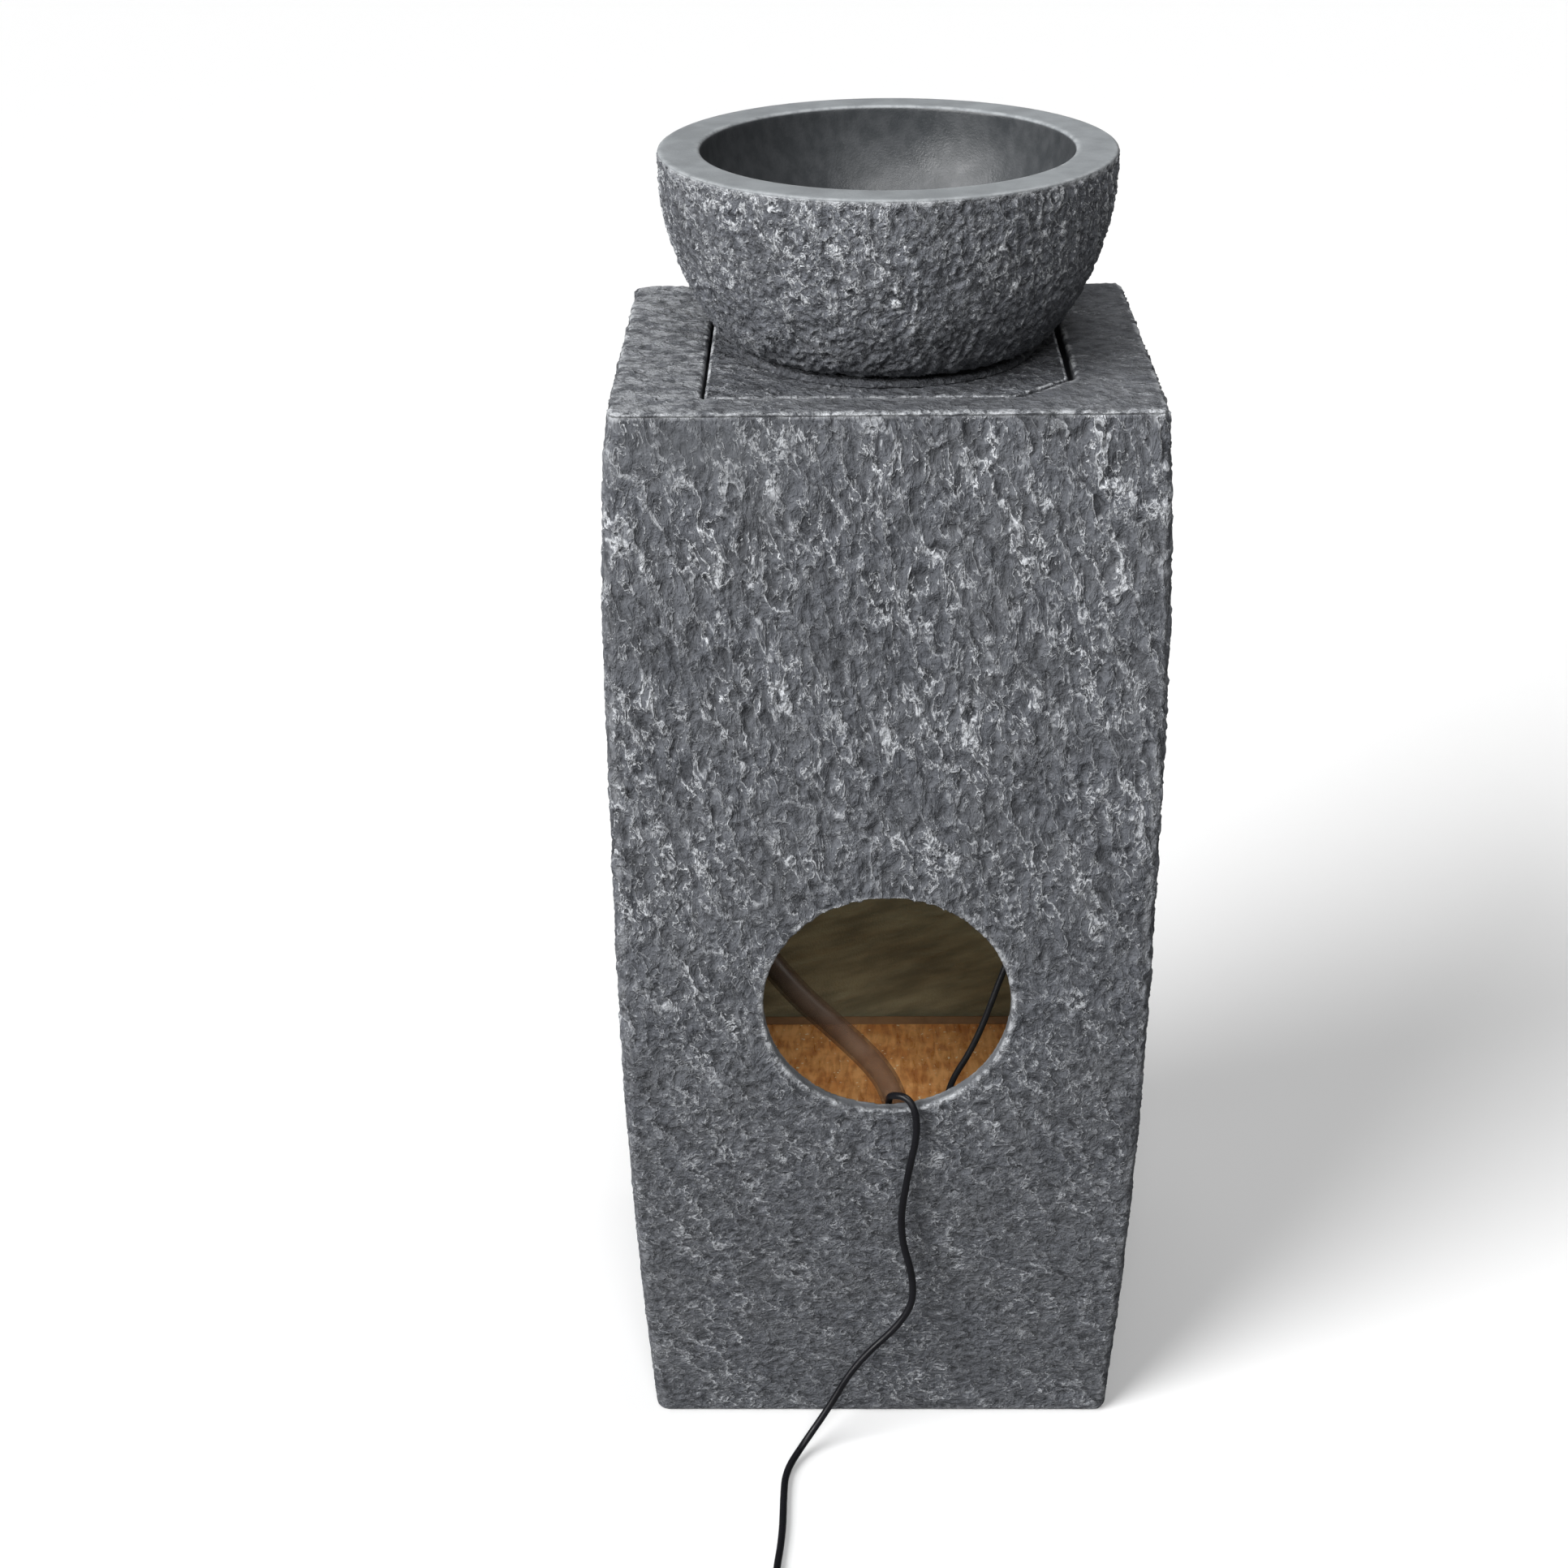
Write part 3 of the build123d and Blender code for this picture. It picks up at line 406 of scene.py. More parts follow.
def foam_material(name):
    """Open filter foam: dark round cells, each painted darker at its hollow centre as painted shade."""
    material, tree, shader = new_material(name)
    place = object_coordinate(tree)
    inputs = {"Vector": place, "Scale": 700.0}
    cells = make(tree, "ShaderNodeTexVoronoi", inputs, feature="F1").outputs["Distance"]
    # Painted shade in the hollow of each cell
    dark = mix(tree, step(tree, cells, 0.15, 0.5), (0.004, 0.004, 0.004), (0.045, 0.045, 0.047))
    tree.links.new(dark, shader.inputs["Base Color"])
    shader.inputs["Roughness"].default_value = 0.95
    bump(tree, shader, cells, 0.0015, 1.0)
    return material


def make_materials():
    """Slot name to material."""
    slate = (0.115, 0.121, 0.131)
    rim_grey = (0.275, 0.292, 0.305)
    olive = ((0.15, 0.138, 0.086), (0.30, 0.28, 0.175))
    basin = ((0.042, 0.046, 0.050), (0.066, 0.070, 0.075))
    return {
        "faux_stone": stone_material("faux_stone", 1.10, 0.0042, slate, olive),
        "bowl_stone": stone_material("bowl_stone", 1.42, 0.0056, rim_grey, basin),
        "bare_fibre": fibre_material("bare_fibre"),
        "sealant": moulded("sealant", (0.200, 0.110, 0.050), 0.70, 240.0, 0.0008),
        "fitting_plastic": moulded("fitting_plastic", (0.035, 0.036, 0.038), 0.42),
        "gasket_rubber": moulded("gasket_rubber", (0.018, 0.018, 0.018), 0.70, 1400.0),
        "lamp_case": moulded("lamp_case", (0.030, 0.031, 0.033), 0.38),
        "lamp_board": moulded("lamp_board", (0.04, 0.20, 0.09), 0.40, 600.0),
        "lamp_chip": moulded("lamp_chip", (0.86, 0.82, 0.62), 0.25, 500.0, 0.0001),
        "lamp_lens": lens_material("lamp_lens"),
        "pump_case": moulded("pump_case", (0.020, 0.021, 0.023), 0.40, 1100.0),
        "pump_inner": moulded("pump_inner", (0.66, 0.67, 0.65), 0.45),
        "pump_magnet": moulded("pump_magnet", (0.050, 0.048, 0.046), 0.55, 1600.0, 0.0003),
        "pump_shaft": moulded("pump_shaft", (0.62, 0.61, 0.58), 0.22, 300.0, 0.00005, 0.06, 1.0),
        "pump_bush": moulded("pump_bush", (0.72, 0.71, 0.68), 0.40),
        "filter_foam": foam_material("filter_foam"),
        "dial_plastic": moulded("dial_plastic", (0.30, 0.31, 0.32), 0.40),
        "foot_rubber": moulded("foot_rubber", (0.030, 0.031, 0.030), 0.60, 800.0),
        "hose_vinyl": hose_material("hose_vinyl"),
        "lead_black": moulded("lead_black", (0.008, 0.008, 0.009), 0.36, 1300.0),
        "cord_black": moulded("cord_black", (0.008, 0.008, 0.010), 0.34, 1300.0),
        "tie_black": moulded("tie_black", (0.022, 0.022, 0.022), 0.55, 1000.0),
        "plug_black": moulded("plug_black", (0.016, 0.016, 0.017), 0.48, 1500.0, 0.0003),
        "pin_metal": moulded("pin_metal", (0.72, 0.66, 0.50), 0.24, 260.0, 0.00005, 0.05, 1.0),
    }


def add_piece(name, data):
    """A new object in the scene, with that mesh, curve, lamp or camera."""
    piece = bpy.data.objects.new(name, data)
    bpy.context.scene.collection.objects.link(piece)
    return piece


def shade_smooth(mesh):
    """Shades a mesh without facets."""
    mesh.polygons.foreach_set("use_smooth", np.ones(len(mesh.polygons), bool))
    mesh.update()


def evaluated_mesh(piece):
    """The mesh that a piece and its modifiers make."""
    graph = bpy.context.evaluated_depsgraph_get()
    return bpy.data.meshes.new_from_object(
        piece.evaluated_get(graph), preserve_all_data_layers=True, depsgraph=graph
    )


def read(collection, name, width=3):
    """A float array of what each member holds under that name."""
    flat = np.empty(width * len(collection), np.float32)
    collection.foreach_get(name, flat)
    flat = flat.astype(float)
    return flat.reshape(-1, width) if width > 1 else flat


def store(mesh, name, values):
    """Keeps values, one number or vector to a vertex, under that name."""
    vector = values.ndim == 2
    attribute = mesh.attributes.new(name, "FLOAT_VECTOR" if vector else "FLOAT", "POINT")
    attribute.data.foreach_set("vector" if vector else "value", values.astype(np.float32).ravel())


def smoothstep(value, low, high):
    """Eases from 0 to 1 as value goes from low to high."""
    share = np.clip((value - low) / (high - low), 0.0, 1.0)
    return share * share * (3.0 - 2.0 * share)


def surface(mesh):
    """Each vertex's place and normal."""
    return read(mesh.vertices, "co"), read(mesh.vertices, "normal")


def spread(mesh, values, steps):
    """values, each averaged with its neighbours' that many times."""
    ends = np.empty(2 * len(mesh.edges), np.int32)
    mesh.edges.foreach_get("vertices", ends)
    first, second = ends.reshape(-1, 2).T
    count = len(mesh.vertices)
    neighbours = np.maximum(np.bincount(ends, minlength=count), 1)
    values = values.reshape(count, -1).copy()
    for _ in range(steps):
        for column in range(values.shape[1]):
            line = values[:, column]
            total = np.bincount(first, line[second], count) + np.bincount(second, line[first], count)
            values[:, column] = total / neighbours
    return values


def edge_wear(mesh, place, normal, steps, least, most):
    """0 on flat surfaces, 1 on convex edges: how far a point stands out of its averaged surroundings."""
    proud = ((place - spread(mesh, place, steps)) * normal).sum(axis=1)
    return smoothstep(proud, least, most)


def relief_of(piece):
    """The relief at each vertex of a piece that has its chisel coordinates, from the nodes that shade it."""
    tree = bpy.data.node_groups.new("relief", "GeometryNodeTree")
    for side in ("INPUT", "OUTPUT"):
        tree.interface.new_socket("Geometry", in_out=side, socket_type="NodeSocketGeometry")
    start = make(tree, "NodeGroupInput")
    named = make(tree, "GeometryNodeInputNamedAttribute", data_type="FLOAT_VECTOR")
    named.inputs["Name"].default_value = "chisel"
    height, _ = relief(tree, named.outputs["Attribute"])
    keep = make(tree, "GeometryNodeStoreNamedAttribute", data_type="FLOAT", domain="POINT")
    keep.inputs["Name"].default_value = "relief"
    tree.links.new(start.outputs[0], keep.inputs["Geometry"])
    tree.links.new(height, keep.inputs["Value"])
    end = make(tree, "NodeGroupOutput")
    tree.links.new(keep.outputs["Geometry"], end.inputs[0])
    modifier = piece.modifiers.new("relief", "NODES")
    modifier.node_group = tree
    mesh = evaluated_mesh(piece)
    height = read(mesh.attributes["relief"].data, "value", 1)
    piece.modifiers.remove(modifier)
    bpy.data.meshes.remove(mesh)
    bpy.data.node_groups.remove(tree)
    return height


def carve(piece, chisel, depth, worn, lined, planed, dust_and_painted_light):
    """Cuts the stone's relief into a piece, inwards from its surface, and keeps what its material reads."""
    mesh = piece.data
    kept = {"chisel": chisel, "worn": worn, "lined": lined, "planed": planed, "dust_and_painted_light": dust_and_painted_light}
    for name, values in kept.items():
        store(mesh, name, values)
    place, normal = surface(mesh)
    sunk = place - normal * (depth * np.clip(RIDGE - relief_of(piece), 0.0, None))[:, None]
    mesh.vertices.foreach_set("co", sunk.astype(np.float32).ravel())
    shade_smooth(mesh)


def fine_copy(node, name, voxel):
    """A copy of a CAD node, meshed evenly for carving."""
    piece = add_piece(name, frame["nodes"][node].data.copy())
    remesh = piece.modifiers.new("remesh", "REMESH")
    remesh.mode = "VOXEL"
    remesh.voxel_size = voxel
    mesh = evaluated_mesh(piece)
    piece.modifiers.clear()
    piece.data = mesh
    return piece


def finish_piece(piece, body, slot, nodes):
    """Gives a piece its slot's material, hides the CAD nodes it stands for, and hangs it from the body it
    rides on, if any.
    """
    piece.data.materials.clear()
    piece.data.materials.append(materials[slot])
    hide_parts(*nodes)
    if body is not None:
        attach(piece, body)
    return piece


def stretched_height(z):
    """Height along the pillar in which hollows are tall at the top and flat at the foot."""
    tall, flat, middle, blend = 0.48, 1.10, 230.0, 80.0
    return tall * z + flat * (z - blend * np.log1p(np.exp((z - middle) / blend)))


def make_pillar():
    """The pillar's chiselled shell, with its streaky deck, worn edges and raw inside."""
    piece = fine_copy("pillar_shell", "pillar_stone", PILLAR_VOXEL)
    mesh = piece.data
    place, normal = surface(mesh)
    x, y, z = place.T / MM
    half_x, half_y, top = np.array(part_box("pillar_shell")[1]) / MM

    # Which side of the shell a point is on
    on_end = np.abs(x) / half_x > np.abs(y) / half_y
    outward = np.where(on_end, normal[:, 0] * np.sign(x), normal[:, 1] * np.sign(y))
    outside = outward > 0.3
    near = y < NEAR_FACE
    deck = (normal[:, 2] > 0.5) & (z > top - DECK_BAND)
    hole_reach = np.hypot(x - HOLE_X, z - HOLE_HEIGHT)
    lip = (hole_reach < HOLE_RADIUS + LIP_BAND) & near & ~outside
    recess = (z > top - SEAT_BAND) & ~outside & ~deck
    foot = (normal[:, 2] < -0.5) & (z < FOOT_BAND)
    inside = ~(outside | deck | lip | recess | foot)

    # Slanted tall hollows on the sides, streaks along the deck and level streaks inside
    lean = PILLAR_SLANT * z
    chisel = np.stack([x + lean, y + lean, stretched_height(z)], axis=1) / PILLAR_HOLLOW
    chisel[deck] = (place / MM / DECK_HOLLOW)[deck]
    level = np.stack([x, y, z - LINING_SLANT * x], axis=1) / LINING_HOLLOW + (0.0, 0.0, 60.0)
    chisel[inside] = level[inside]

    # How deep the relief is cut: more high up and on chipped edges, less on the smooth patch
    depth = PILLAR_LOW_DEPTH + (PILLAR_HIGH_DEPTH - PILLAR_LOW_DEPTH) * smoothstep(z, 100.0, 450.0)
    patch_reach = np.hypot((x - PATCH_X) / PATCH_WIDTH, (z - PATCH_HEIGHT) / PATCH_TALLNESS)
    smooth_patch = np.exp(-patch_reach ** 2) * near
    depth *= 1.0 - 0.75 * smooth_patch
    for region, amount in ((deck, DECK_DEPTH), (lip, 0.5), (recess, 0.3), (foot, 0.15), (inside, 1.2)):
        depth[region] = amount
    edge = edge_wear(mesh, place, normal, 12, 0.4 * MM, 1.8 * MM) * (outside | deck)
    near_side = np.maximum(np.abs(x) / half_x, np.abs(y) / half_y) > 0.85
    depth += edge * near_side * np.where(z > top - CHIPPED_BAND, EDGE_CHIP, -0.4 * depth)
    depth = spread(mesh, depth * MM, 3)[:, 0]

    # Worn edges, raw lining, planed stone, and pale dust that is thicker high up and on the left, where it
    # also stands for painted light; where it is thin, low down, it darkens the stone as painted shade
    worn = edge_wear(mesh, place, normal, 5, 0.22 * MM, 0.75 * MM) * ~inside
    worn *= np.where(hole_reach < HOLE_RADIUS + WORN_LIP_BAND, 0.75, 1.0)
    worn = np.maximum(worn, deck * (0.12 + 0.36 * smoothstep(-x, 85.0, 110.0)))
    lined = spread(mesh, inside.astype(float), 3)[:, 0]
    planed = np.maximum(0.9 * (lip | recess) + 0.3 * deck, 0.6 * smooth_patch)
    planed = spread(mesh, planed, 2)[:, 0]
    dust_and_painted_light = 0.46 + 0.48 * smoothstep(z, 40.0, 640.0) + 0.14 * smoothstep(-x, -40.0, 120.0)
    dust_and_painted_light[deck] *= 0.6
    carve(piece, chisel, depth, worn, lined, planed, dust_and_painted_light)
    return finish_piece(piece, "pillar", "faux_stone", ["pillar_shell"])


def make_plate():
    """The keyed lid plate, streaked like the deck around it."""
    piece = fine_copy("lid_plate", "lid_plate_stone", PLATE_VOXEL)
    mesh = piece.data
    place, normal = surface(mesh)
    chisel = place / MM / DECK_HOLLOW + (9.0, 0.0, 0.0)
    depth = np.where(normal[:, 2] > 0.4, PLATE_DEPTH, 0.25) * MM
    worn = edge_wear(mesh, place, normal, 4, 0.10 * MM, 0.4 * MM)
    nothing = np.zeros(len(place))
    carve(piece, chisel, spread(mesh, depth, 2)[:, 0], worn, nothing, nothing, nothing + 0.5)
    return finish_piece(piece, "lid", "faux_stone", ["lid_plate"])


def make_bowl_foot():
    """The low disc under the bowl."""
    piece = fine_copy("bowl_foot", "bowl_foot_stone", PLATE_VOXEL)
    mesh = piece.data
    place, normal = surface(mesh)
    chisel = place / (FOOT_HOLLOW * MM)
    depth = np.where(normal[:, 2] > -0.4, FOOT_DEPTH, 0.05) * MM
    nothing = np.zeros(len(place))
    carve(piece, chisel, depth, nothing, nothing, nothing, nothing + 0.4)
    return finish_piece(piece, "lid", "bowl_stone", ["bowl_foot"])


def make_reservoir_floor():
    """The raised floor of glass fibre, in uneven layers that run front to back."""
    piece = fine_copy("reservoir_floor", "reservoir_floor_fibre", FLOOR_VOXEL)
    mesh = piece.data
    place, normal = surface(mesh)
    chisel = place / MM / FIBRE_HOLLOW
    depth = np.where(normal[:, 2] > 0.5, FIBRE_DEPTH, 0.2) * MM
    nothing = np.zeros(len(place))
    carve(piece, chisel, depth, nothing, nothing, nothing, nothing)
    return finish_piece(piece, "pillar", "bare_fibre", ["reservoir_floor"])


def arc(first, middle, last, spacing):
    """Points from first to last along the circle through the three."""
    (ax, ay), (bx, by), (cx, cy) = first, middle, last
    double = 2.0 * (ax * (by - cy) + bx * (cy - ay) + cx * (ay - by))
    sums = [ax * ax + ay * ay, bx * bx + by * by, cx * cx + cy * cy]
    centre_x = (sums[0] * (by - cy) + sums[1] * (cy - ay) + sums[2] * (ay - by)) / double
    centre_y = (sums[0] * (cx - bx) + sums[1] * (ax - cx) + sums[2] * (bx - ax)) / double
    radius = math.hypot(ax - centre_x, ay - centre_y)
    start = math.atan2(ay - centre_y, ax - centre_x)
    end = math.atan2(cy - centre_y, cx - centre_x)
    turn = (end - start + math.pi) % (2.0 * math.pi) - math.pi
    count = max(2, math.ceil(abs(turn) * radius / spacing))
    angles = start + turn * np.linspace(0.0, 1.0, count + 1)
    return np.stack([centre_x + radius * np.cos(angles), centre_y + radius * np.sin(angles)], axis=1)


def straight(first, last, spacing):
    """Points from first to last along a line."""
    count = max(1, math.ceil(math.dist(first, last) / spacing))
    return np.linspace(first, last, count + 1)


def rounded(line, corner, cut, spacing):
    """line with one corner rounded off, from that far before the corner to as far behind it."""
    reach = np.linalg.norm(line - np.array(corner), axis=1)
    turn = int(np.argmin(reach))
    before = np.nonzero(reach[:turn] > cut)[0][-1]
    after = turn + np.nonzero(reach[turn:] > cut)[0][0]
    count = max(3, math.ceil(1.5 * cut / spacing))
    share = np.linspace(0.0, 1.0, count + 1)[:, None]
    start, end, knee = line[before], line[after], np.array(corner)
    bend = (1 - share) ** 2 * start + 2 * share * (1 - share) * knee + share ** 2 * end
    return np.concatenate([line[:before], bend, line[after + 1:]])


def bowl_section():
    """(radius, height) points around the bowl's wall, from the hole up its outside, over the rim and back."""
    coarse = 2.0 * BOWL_ROW
    sides = [
        straight((STEM_HOLE, BOWL_BASE), BOWL_FOOT, coarse),
        arc(BOWL_FOOT, BOWL_SHOULDER, BOWL_RIM, BOWL_ROW),
        straight(BOWL_RIM, RIM_INNER, BOWL_ROW),
        arc(RIM_INNER, BOWL_INNER_SHOULDER, BOWL_FLOOR, coarse),
        straight(BOWL_FLOOR, (STEM_HOLE, BOWL_FLOOR[1]), coarse),
        straight((STEM_HOLE, BOWL_FLOOR[1]), (STEM_HOLE, BOWL_BASE), coarse),
    ]
    line = np.concatenate([side[:-1] for side in sides])
    line = rounded(line, BOWL_FOOT, BOWL_FOOT_ROUNDING, BOWL_ROW)
    line = rounded(line, BOWL_RIM, RIM_EDGE, 0.4 * RIM_EDGE)
    return rounded(line, RIM_INNER, RIM_EDGE, 0.4 * RIM_EDGE)


def turned_mesh(name, section):
    """A closed mesh of the bowl's columns, turned from (radius, height) points."""
    rows = len(section)
    angles = 2.0 * math.pi * np.arange(BOWL_COLUMNS) / BOWL_COLUMNS
    reach, level = section[:, 0], section[:, 1]
    place = np.stack(
        [
            BOWL_X + np.outer(reach, np.cos(angles)),
            np.outer(reach, np.sin(angles)),
            np.repeat(level[:, None], BOWL_COLUMNS, axis=1),
        ],
        axis=2,
    ).reshape(-1, 3)
    row, column = np.meshgrid(np.arange(rows), np.arange(BOWL_COLUMNS), indexing="ij")
    next_row, next_column = (row + 1) % rows, (column + 1) % BOWL_COLUMNS
    faces = np.stack(
        [
            row * BOWL_COLUMNS + column,
            row * BOWL_COLUMNS + next_column,
            next_row * BOWL_COLUMNS + next_column,
            next_row * BOWL_COLUMNS + column,
        ],
        axis=2,
    ).reshape(-1, 4)
    mesh = bpy.data.meshes.new(name)
    mesh.from_pydata(place.tolist(), [], faces.tolist())
    mesh.update()
    return mesh


def make_bowl():
    """The bowl: rough chipped outside, planed rim and a smooth basin."""
    mesh = turned_mesh("bowl_stone", bowl_section())
    piece = add_piece("bowl_stone", mesh)
    place, normal = surface(mesh)
    radial = np.hypot(place[:, 0] - BOWL_X, place[:, 1])
    outward = ((place[:, 0] - BOWL_X) * normal[:, 0] + place[:, 1] * normal[:, 1]) / radial
    outside = (outward > -0.2) & (normal[:, 2] < 0.6) & (place[:, 2] < BOWL_RIM[1] - 0.0008)
    outside &= radial > 0.5 * BOWL_FOOT[0]
    rough = outside * smoothstep(BOWL_RIM[1] - place[:, 2], 0.0002, 0.0016)
    x, y, z = place.T / MM
    lean = BOWL_SLANT * z
    chisel = np.stack([x + lean, y + lean, BOWL_STRETCH * z], axis=1) / BOWL_HOLLOW
    depth = (0.05 + BOWL_DEPTH * rough) * MM
    worn = edge_wear(mesh, place, normal, 6, 0.12 * MM, 0.5 * MM)
    planed = 1.0 - smoothstep(rough, 0.0, 0.4)
    basin = ~outside & (place[:, 2] < BOWL_RIM[1] - RIM_EDGE) & (place[:, 2] > BOWL_FLOOR[1] - 0.001)
    # Pale dust thicker high up, with painted light on the left and painted shade over the lower bowl where it
    # is thin
    dust_and_painted_light = 0.30 + 1.50 * smoothstep(z, 688.0, 760.0) + 0.50 * smoothstep(-x, 0.0, 110.0)
    carve(piece, chisel, depth, worn, basin.astype(float), planed, dust_and_painted_light)
    return finish_piece(piece, "lid", "bowl_stone", ["bowl"])


def smooth_line(name, route):
    """A curve that runs smoothly along a route's points."""
    curve = bpy.data.curves.new(name, "CURVE")
    curve.dimensions = "3D"
    curve.resolution_u = 12
    spline = curve.splines.new("NURBS")
    spline.points.add(len(route) - 1)
    for point, spot in zip(spline.points, route):
        point.co = (*spot, 1.0)
    spline.order_u = 3
    spline.use_endpoint_u = True
    return curve


def coil_point(turn):
    """Where the coil is after that many turns: inwards in the lower layer, then outwards in the upper."""
    half = COIL_TURNS / 2
    radius = COIL_RADIUS - COIL_SPACING * (half - abs(turn - half))
    climb = float(smoothstep(np.array(turn - half), -COIL_CLIMB / 2, COIL_CLIMB / 2))
    angle = math.pi + 2.0 * math.pi * turn
    level = COIL_LEVEL + COIL_SPACING * climb
    return (COIL_CENTRE[0] + radius * math.cos(angle), COIL_CENTRE[1] + radius * math.sin(angle), level)


def make_power_cord():
    """The power cord: out of the hole, down the near face, along the floor and into its tied coil."""
    count = COIL_TURNS * COIL_POINTS_PER_TURN
    coil = [coil_point(index / COIL_POINTS_PER_TURN) for index in range(count + 1)]
    x, y, z = coil[-1]
    end = [(x, y - COIL_EXIT / 2, z), (x, y - COIL_EXIT, z)]
    curve = smooth_line("power_cord_line", CORD_ROUTE + coil + end)
    curve.bevel_depth = CORD_DIAMETER / 2
    curve.bevel_resolution = 5
    curve.use_fill_caps = True
    piece = add_piece("power_cord_line", curve)
    finish_piece(piece, "pillar", "cord_black", ["power_cord", "cord_coil"])


def line_points(route):
    """Points read from the smooth line along a route."""
    holder = bpy.data.objects.new("line", smooth_line("line", route))
    mesh = bpy.data.meshes.new_from_object(holder)
    points = read(mesh.vertices, "co")
    bpy.data.objects.remove(holder)
    bpy.data.meshes.remove(mesh)
    return points


def tube_mesh(name, points, radii, sides=28):
    """A closed tube along points. radii is one radius, or an outer and an inner one."""
    ahead = np.gradient(points, axis=0)
    ahead /= np.linalg.norm(ahead, axis=1)[:, None]
    across = np.cross(ahead[0], (0.0, 1.0, 0.0))
    frames = []
    for way in ahead:
        across = across - way * (across @ way)
        across /= np.linalg.norm(across)
        frames.append((across, np.cross(way, across)))
    angles = 2.0 * math.pi * np.arange(sides) / sides
    rings = []
    lines = [(radii[0], range(len(points)))]
    if len(radii) > 1:
        lines.append((radii[1], reversed(range(len(points)))))
    for radius, order in lines:
        for index in order:
            first, second = frames[index]
            circle = np.outer(np.cos(angles), first) + np.outer(np.sin(angles), second)
            rings.append(points[index] + radius * circle)
    vertices = np.concatenate(rings)
    count = len(rings)
    faces = []
    for ring in range(count if len(radii) > 1 else count - 1):
        low, high = ring * sides, ((ring + 1) % count) * sides
        for side in range(sides):
            after = (side + 1) % sides
            faces.append((low + side, low + after, high + after, high + side))
    if len(radii) == 1:
        faces.append(tuple(reversed(range(sides))))
        faces.append(tuple(range((count - 1) * sides, count * sides)))
    mesh = bpy.data.meshes.new(name)
    mesh.from_pydata(vertices.tolist(), [], faces)
    shade_smooth(mesh)
    return mesh


def make_line(name, route, radii, slot, node):
    """A hose or lead inside the pillar, from the pump up to the lid."""
    points = line_points(route)
    piece = add_piece(name, tube_mesh(name, points, radii))
    finish_piece(piece, None, slot, [node])
    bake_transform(piece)


def dress_nodes():
    """Gives each CAD node that still shows its slot's material."""
    for subpart in frame["record"]["subparts"]:
        node = frame["nodes"][subpart["node"]]
        node.data.materials.clear()
        node.data.materials.append(materials[subpart["material_slot"]])


def make_camera():
    """The camera, where the photograph was taken from."""
    ahead = Vector((
        math.sin(CAMERA_YAW) * math.cos(CAMERA_PITCH),
        math.cos(CAMERA_YAW) * math.cos(CAMERA_PITCH),
        -math.sin(CAMERA_PITCH),
    ))
    level_right = Vector((math.cos(CAMERA_YAW), -math.sin(CAMERA_YAW), 0.0))
    level_down = ahead.cross(level_right)
    right = math.cos(CAMERA_ROLL) * level_right + math.sin(CAMERA_ROLL) * level_down
    down = math.cos(CAMERA_ROLL) * level_down - math.sin(CAMERA_ROLL) * level_right
    data = bpy.data.cameras.new("camera")
    data.sensor_width = SENSOR_WIDTH
    data.lens = SENSOR_WIDTH * FOCAL_PIXELS / IMAGE_SIDE
    data.clip_end = 60.0
    camera = add_piece("camera", data)
    camera.matrix_world = Matrix.LocRotScale(
        CAMERA_PLACE, Matrix((right, -down, -ahead)).transposed().to_quaternion(), None
    )
    bpy.context.scene.camera = camera


def make_lamp(name, place, target, width, power):
    """A round lamp that shines towards its target."""
    data = bpy.data.lights.new(name, "AREA")
    data.shape = "DISK"
    data.size = width
    data.energy = power
    lamp = add_piece(name, data)
    lamp.location = place
    lamp.rotation_euler = (Vector(target) - Vector(place)).to_track_quat("-Z", "Y").to_euler()


def make_sun(name, towards, strength, width):
    """A far lamp in that direction, as wide as that many degrees."""
    data = bpy.data.lights.new(name, "SUN")
    data.energy = strength
    data.angle = math.radians(width)
    lamp = add_piece(name, data)
    lamp.rotation_euler = (-Vector(towards)).to_track_quat("-Z", "Y").to_euler()


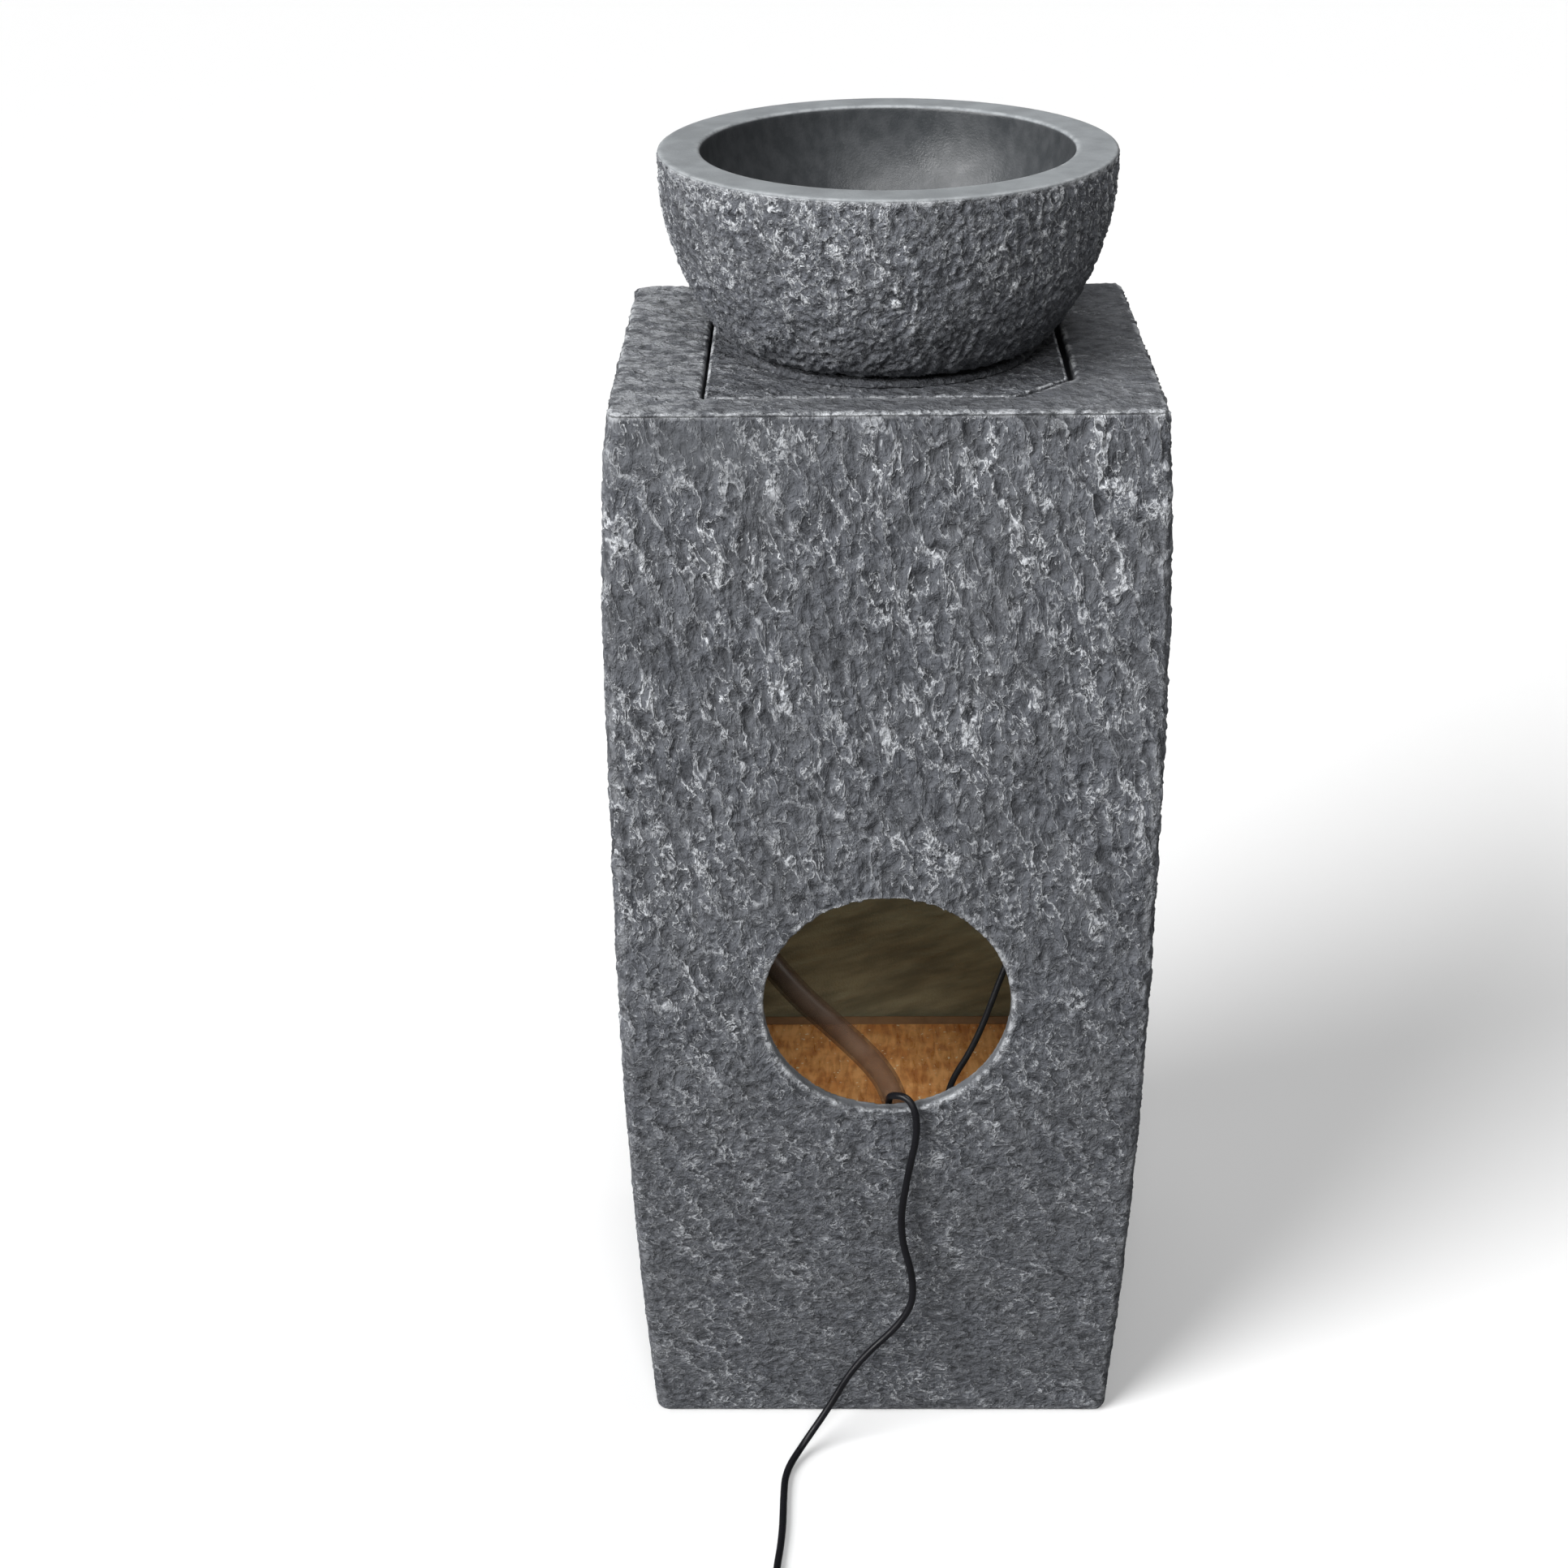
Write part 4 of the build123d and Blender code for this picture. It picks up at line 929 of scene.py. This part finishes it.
def make_surroundings():
    """White floor and surroundings that the camera sees as white, and soft studio lamps."""
    world = bpy.data.worlds.new("studio")
    bpy.context.scene.world = world
    world.use_nodes = True
    tree = world.node_tree
    background = tree.nodes["Background"]
    path = make(tree, "ShaderNodeLightPath")
    seen = calc(tree, "MAXIMUM", path.outputs["Is Camera Ray"], path.outputs["Is Transmission Ray"])
    background.inputs["Color"].default_value = (1.0, 1.0, 1.0, 1.0)
    tree.links.new(step(tree, seen, 0.0, 1.0, AMBIENT, 1.0), background.inputs["Strength"])

    corners = [(FLOOR_REACH * x, FLOOR_REACH * y, 0.0) for x, y in ((-1, -1), (1, -1), (1, 1), (-1, 1))]
    mesh = bpy.data.meshes.new("floor")
    mesh.from_pydata(corners, [], [(0, 1, 2, 3)])
    floor = add_piece("floor", mesh)
    material, tree, shader = new_material("floor")
    shader.inputs["Roughness"].default_value = 0.9
    shader.inputs["Specular IOR Level"].default_value = 0.0
    seen = make(tree, "ShaderNodeLightPath").outputs["Is Camera Ray"]
    tree.links.new(mix(tree, seen, FLOOR_BOUNCE, FLOOR_SEEN), shader.inputs["Base Color"])
    shader.inputs["Emission Color"].default_value = (1.0, 1.0, 1.0, 1.0)
    tree.links.new(calc(tree, "MULTIPLY", seen, FLOOR_GLOW), shader.inputs["Emission Strength"])
    mesh.materials.append(material)

    for name, sun in SUNS.items():
        make_sun(name, *sun)
    for name, lamp in LAMPS.items():
        make_lamp(name, *lamp)


bpy.context.scene.view_settings.view_transform = "Standard"
make_camera()
make_surroundings()
materials = make_materials()
make_power_cord()
hose_radii = (HOSE_DIAMETER / 2, HOSE_BORE / 2)
lead_radii = (LEAD_DIAMETER / 2,)
make_line("riser_hose_line", HOSE_ROUTE, hose_radii, "hose_vinyl", "riser_hose")
make_line("lamp_lead_line", LEAD_ROUTE, lead_radii, "lead_black", "lamp_lead")
dress_nodes()
make_pillar()
make_plate()
make_bowl_foot()
make_bowl()
make_reservoir_floor()

bpy.context.view_layer.update()
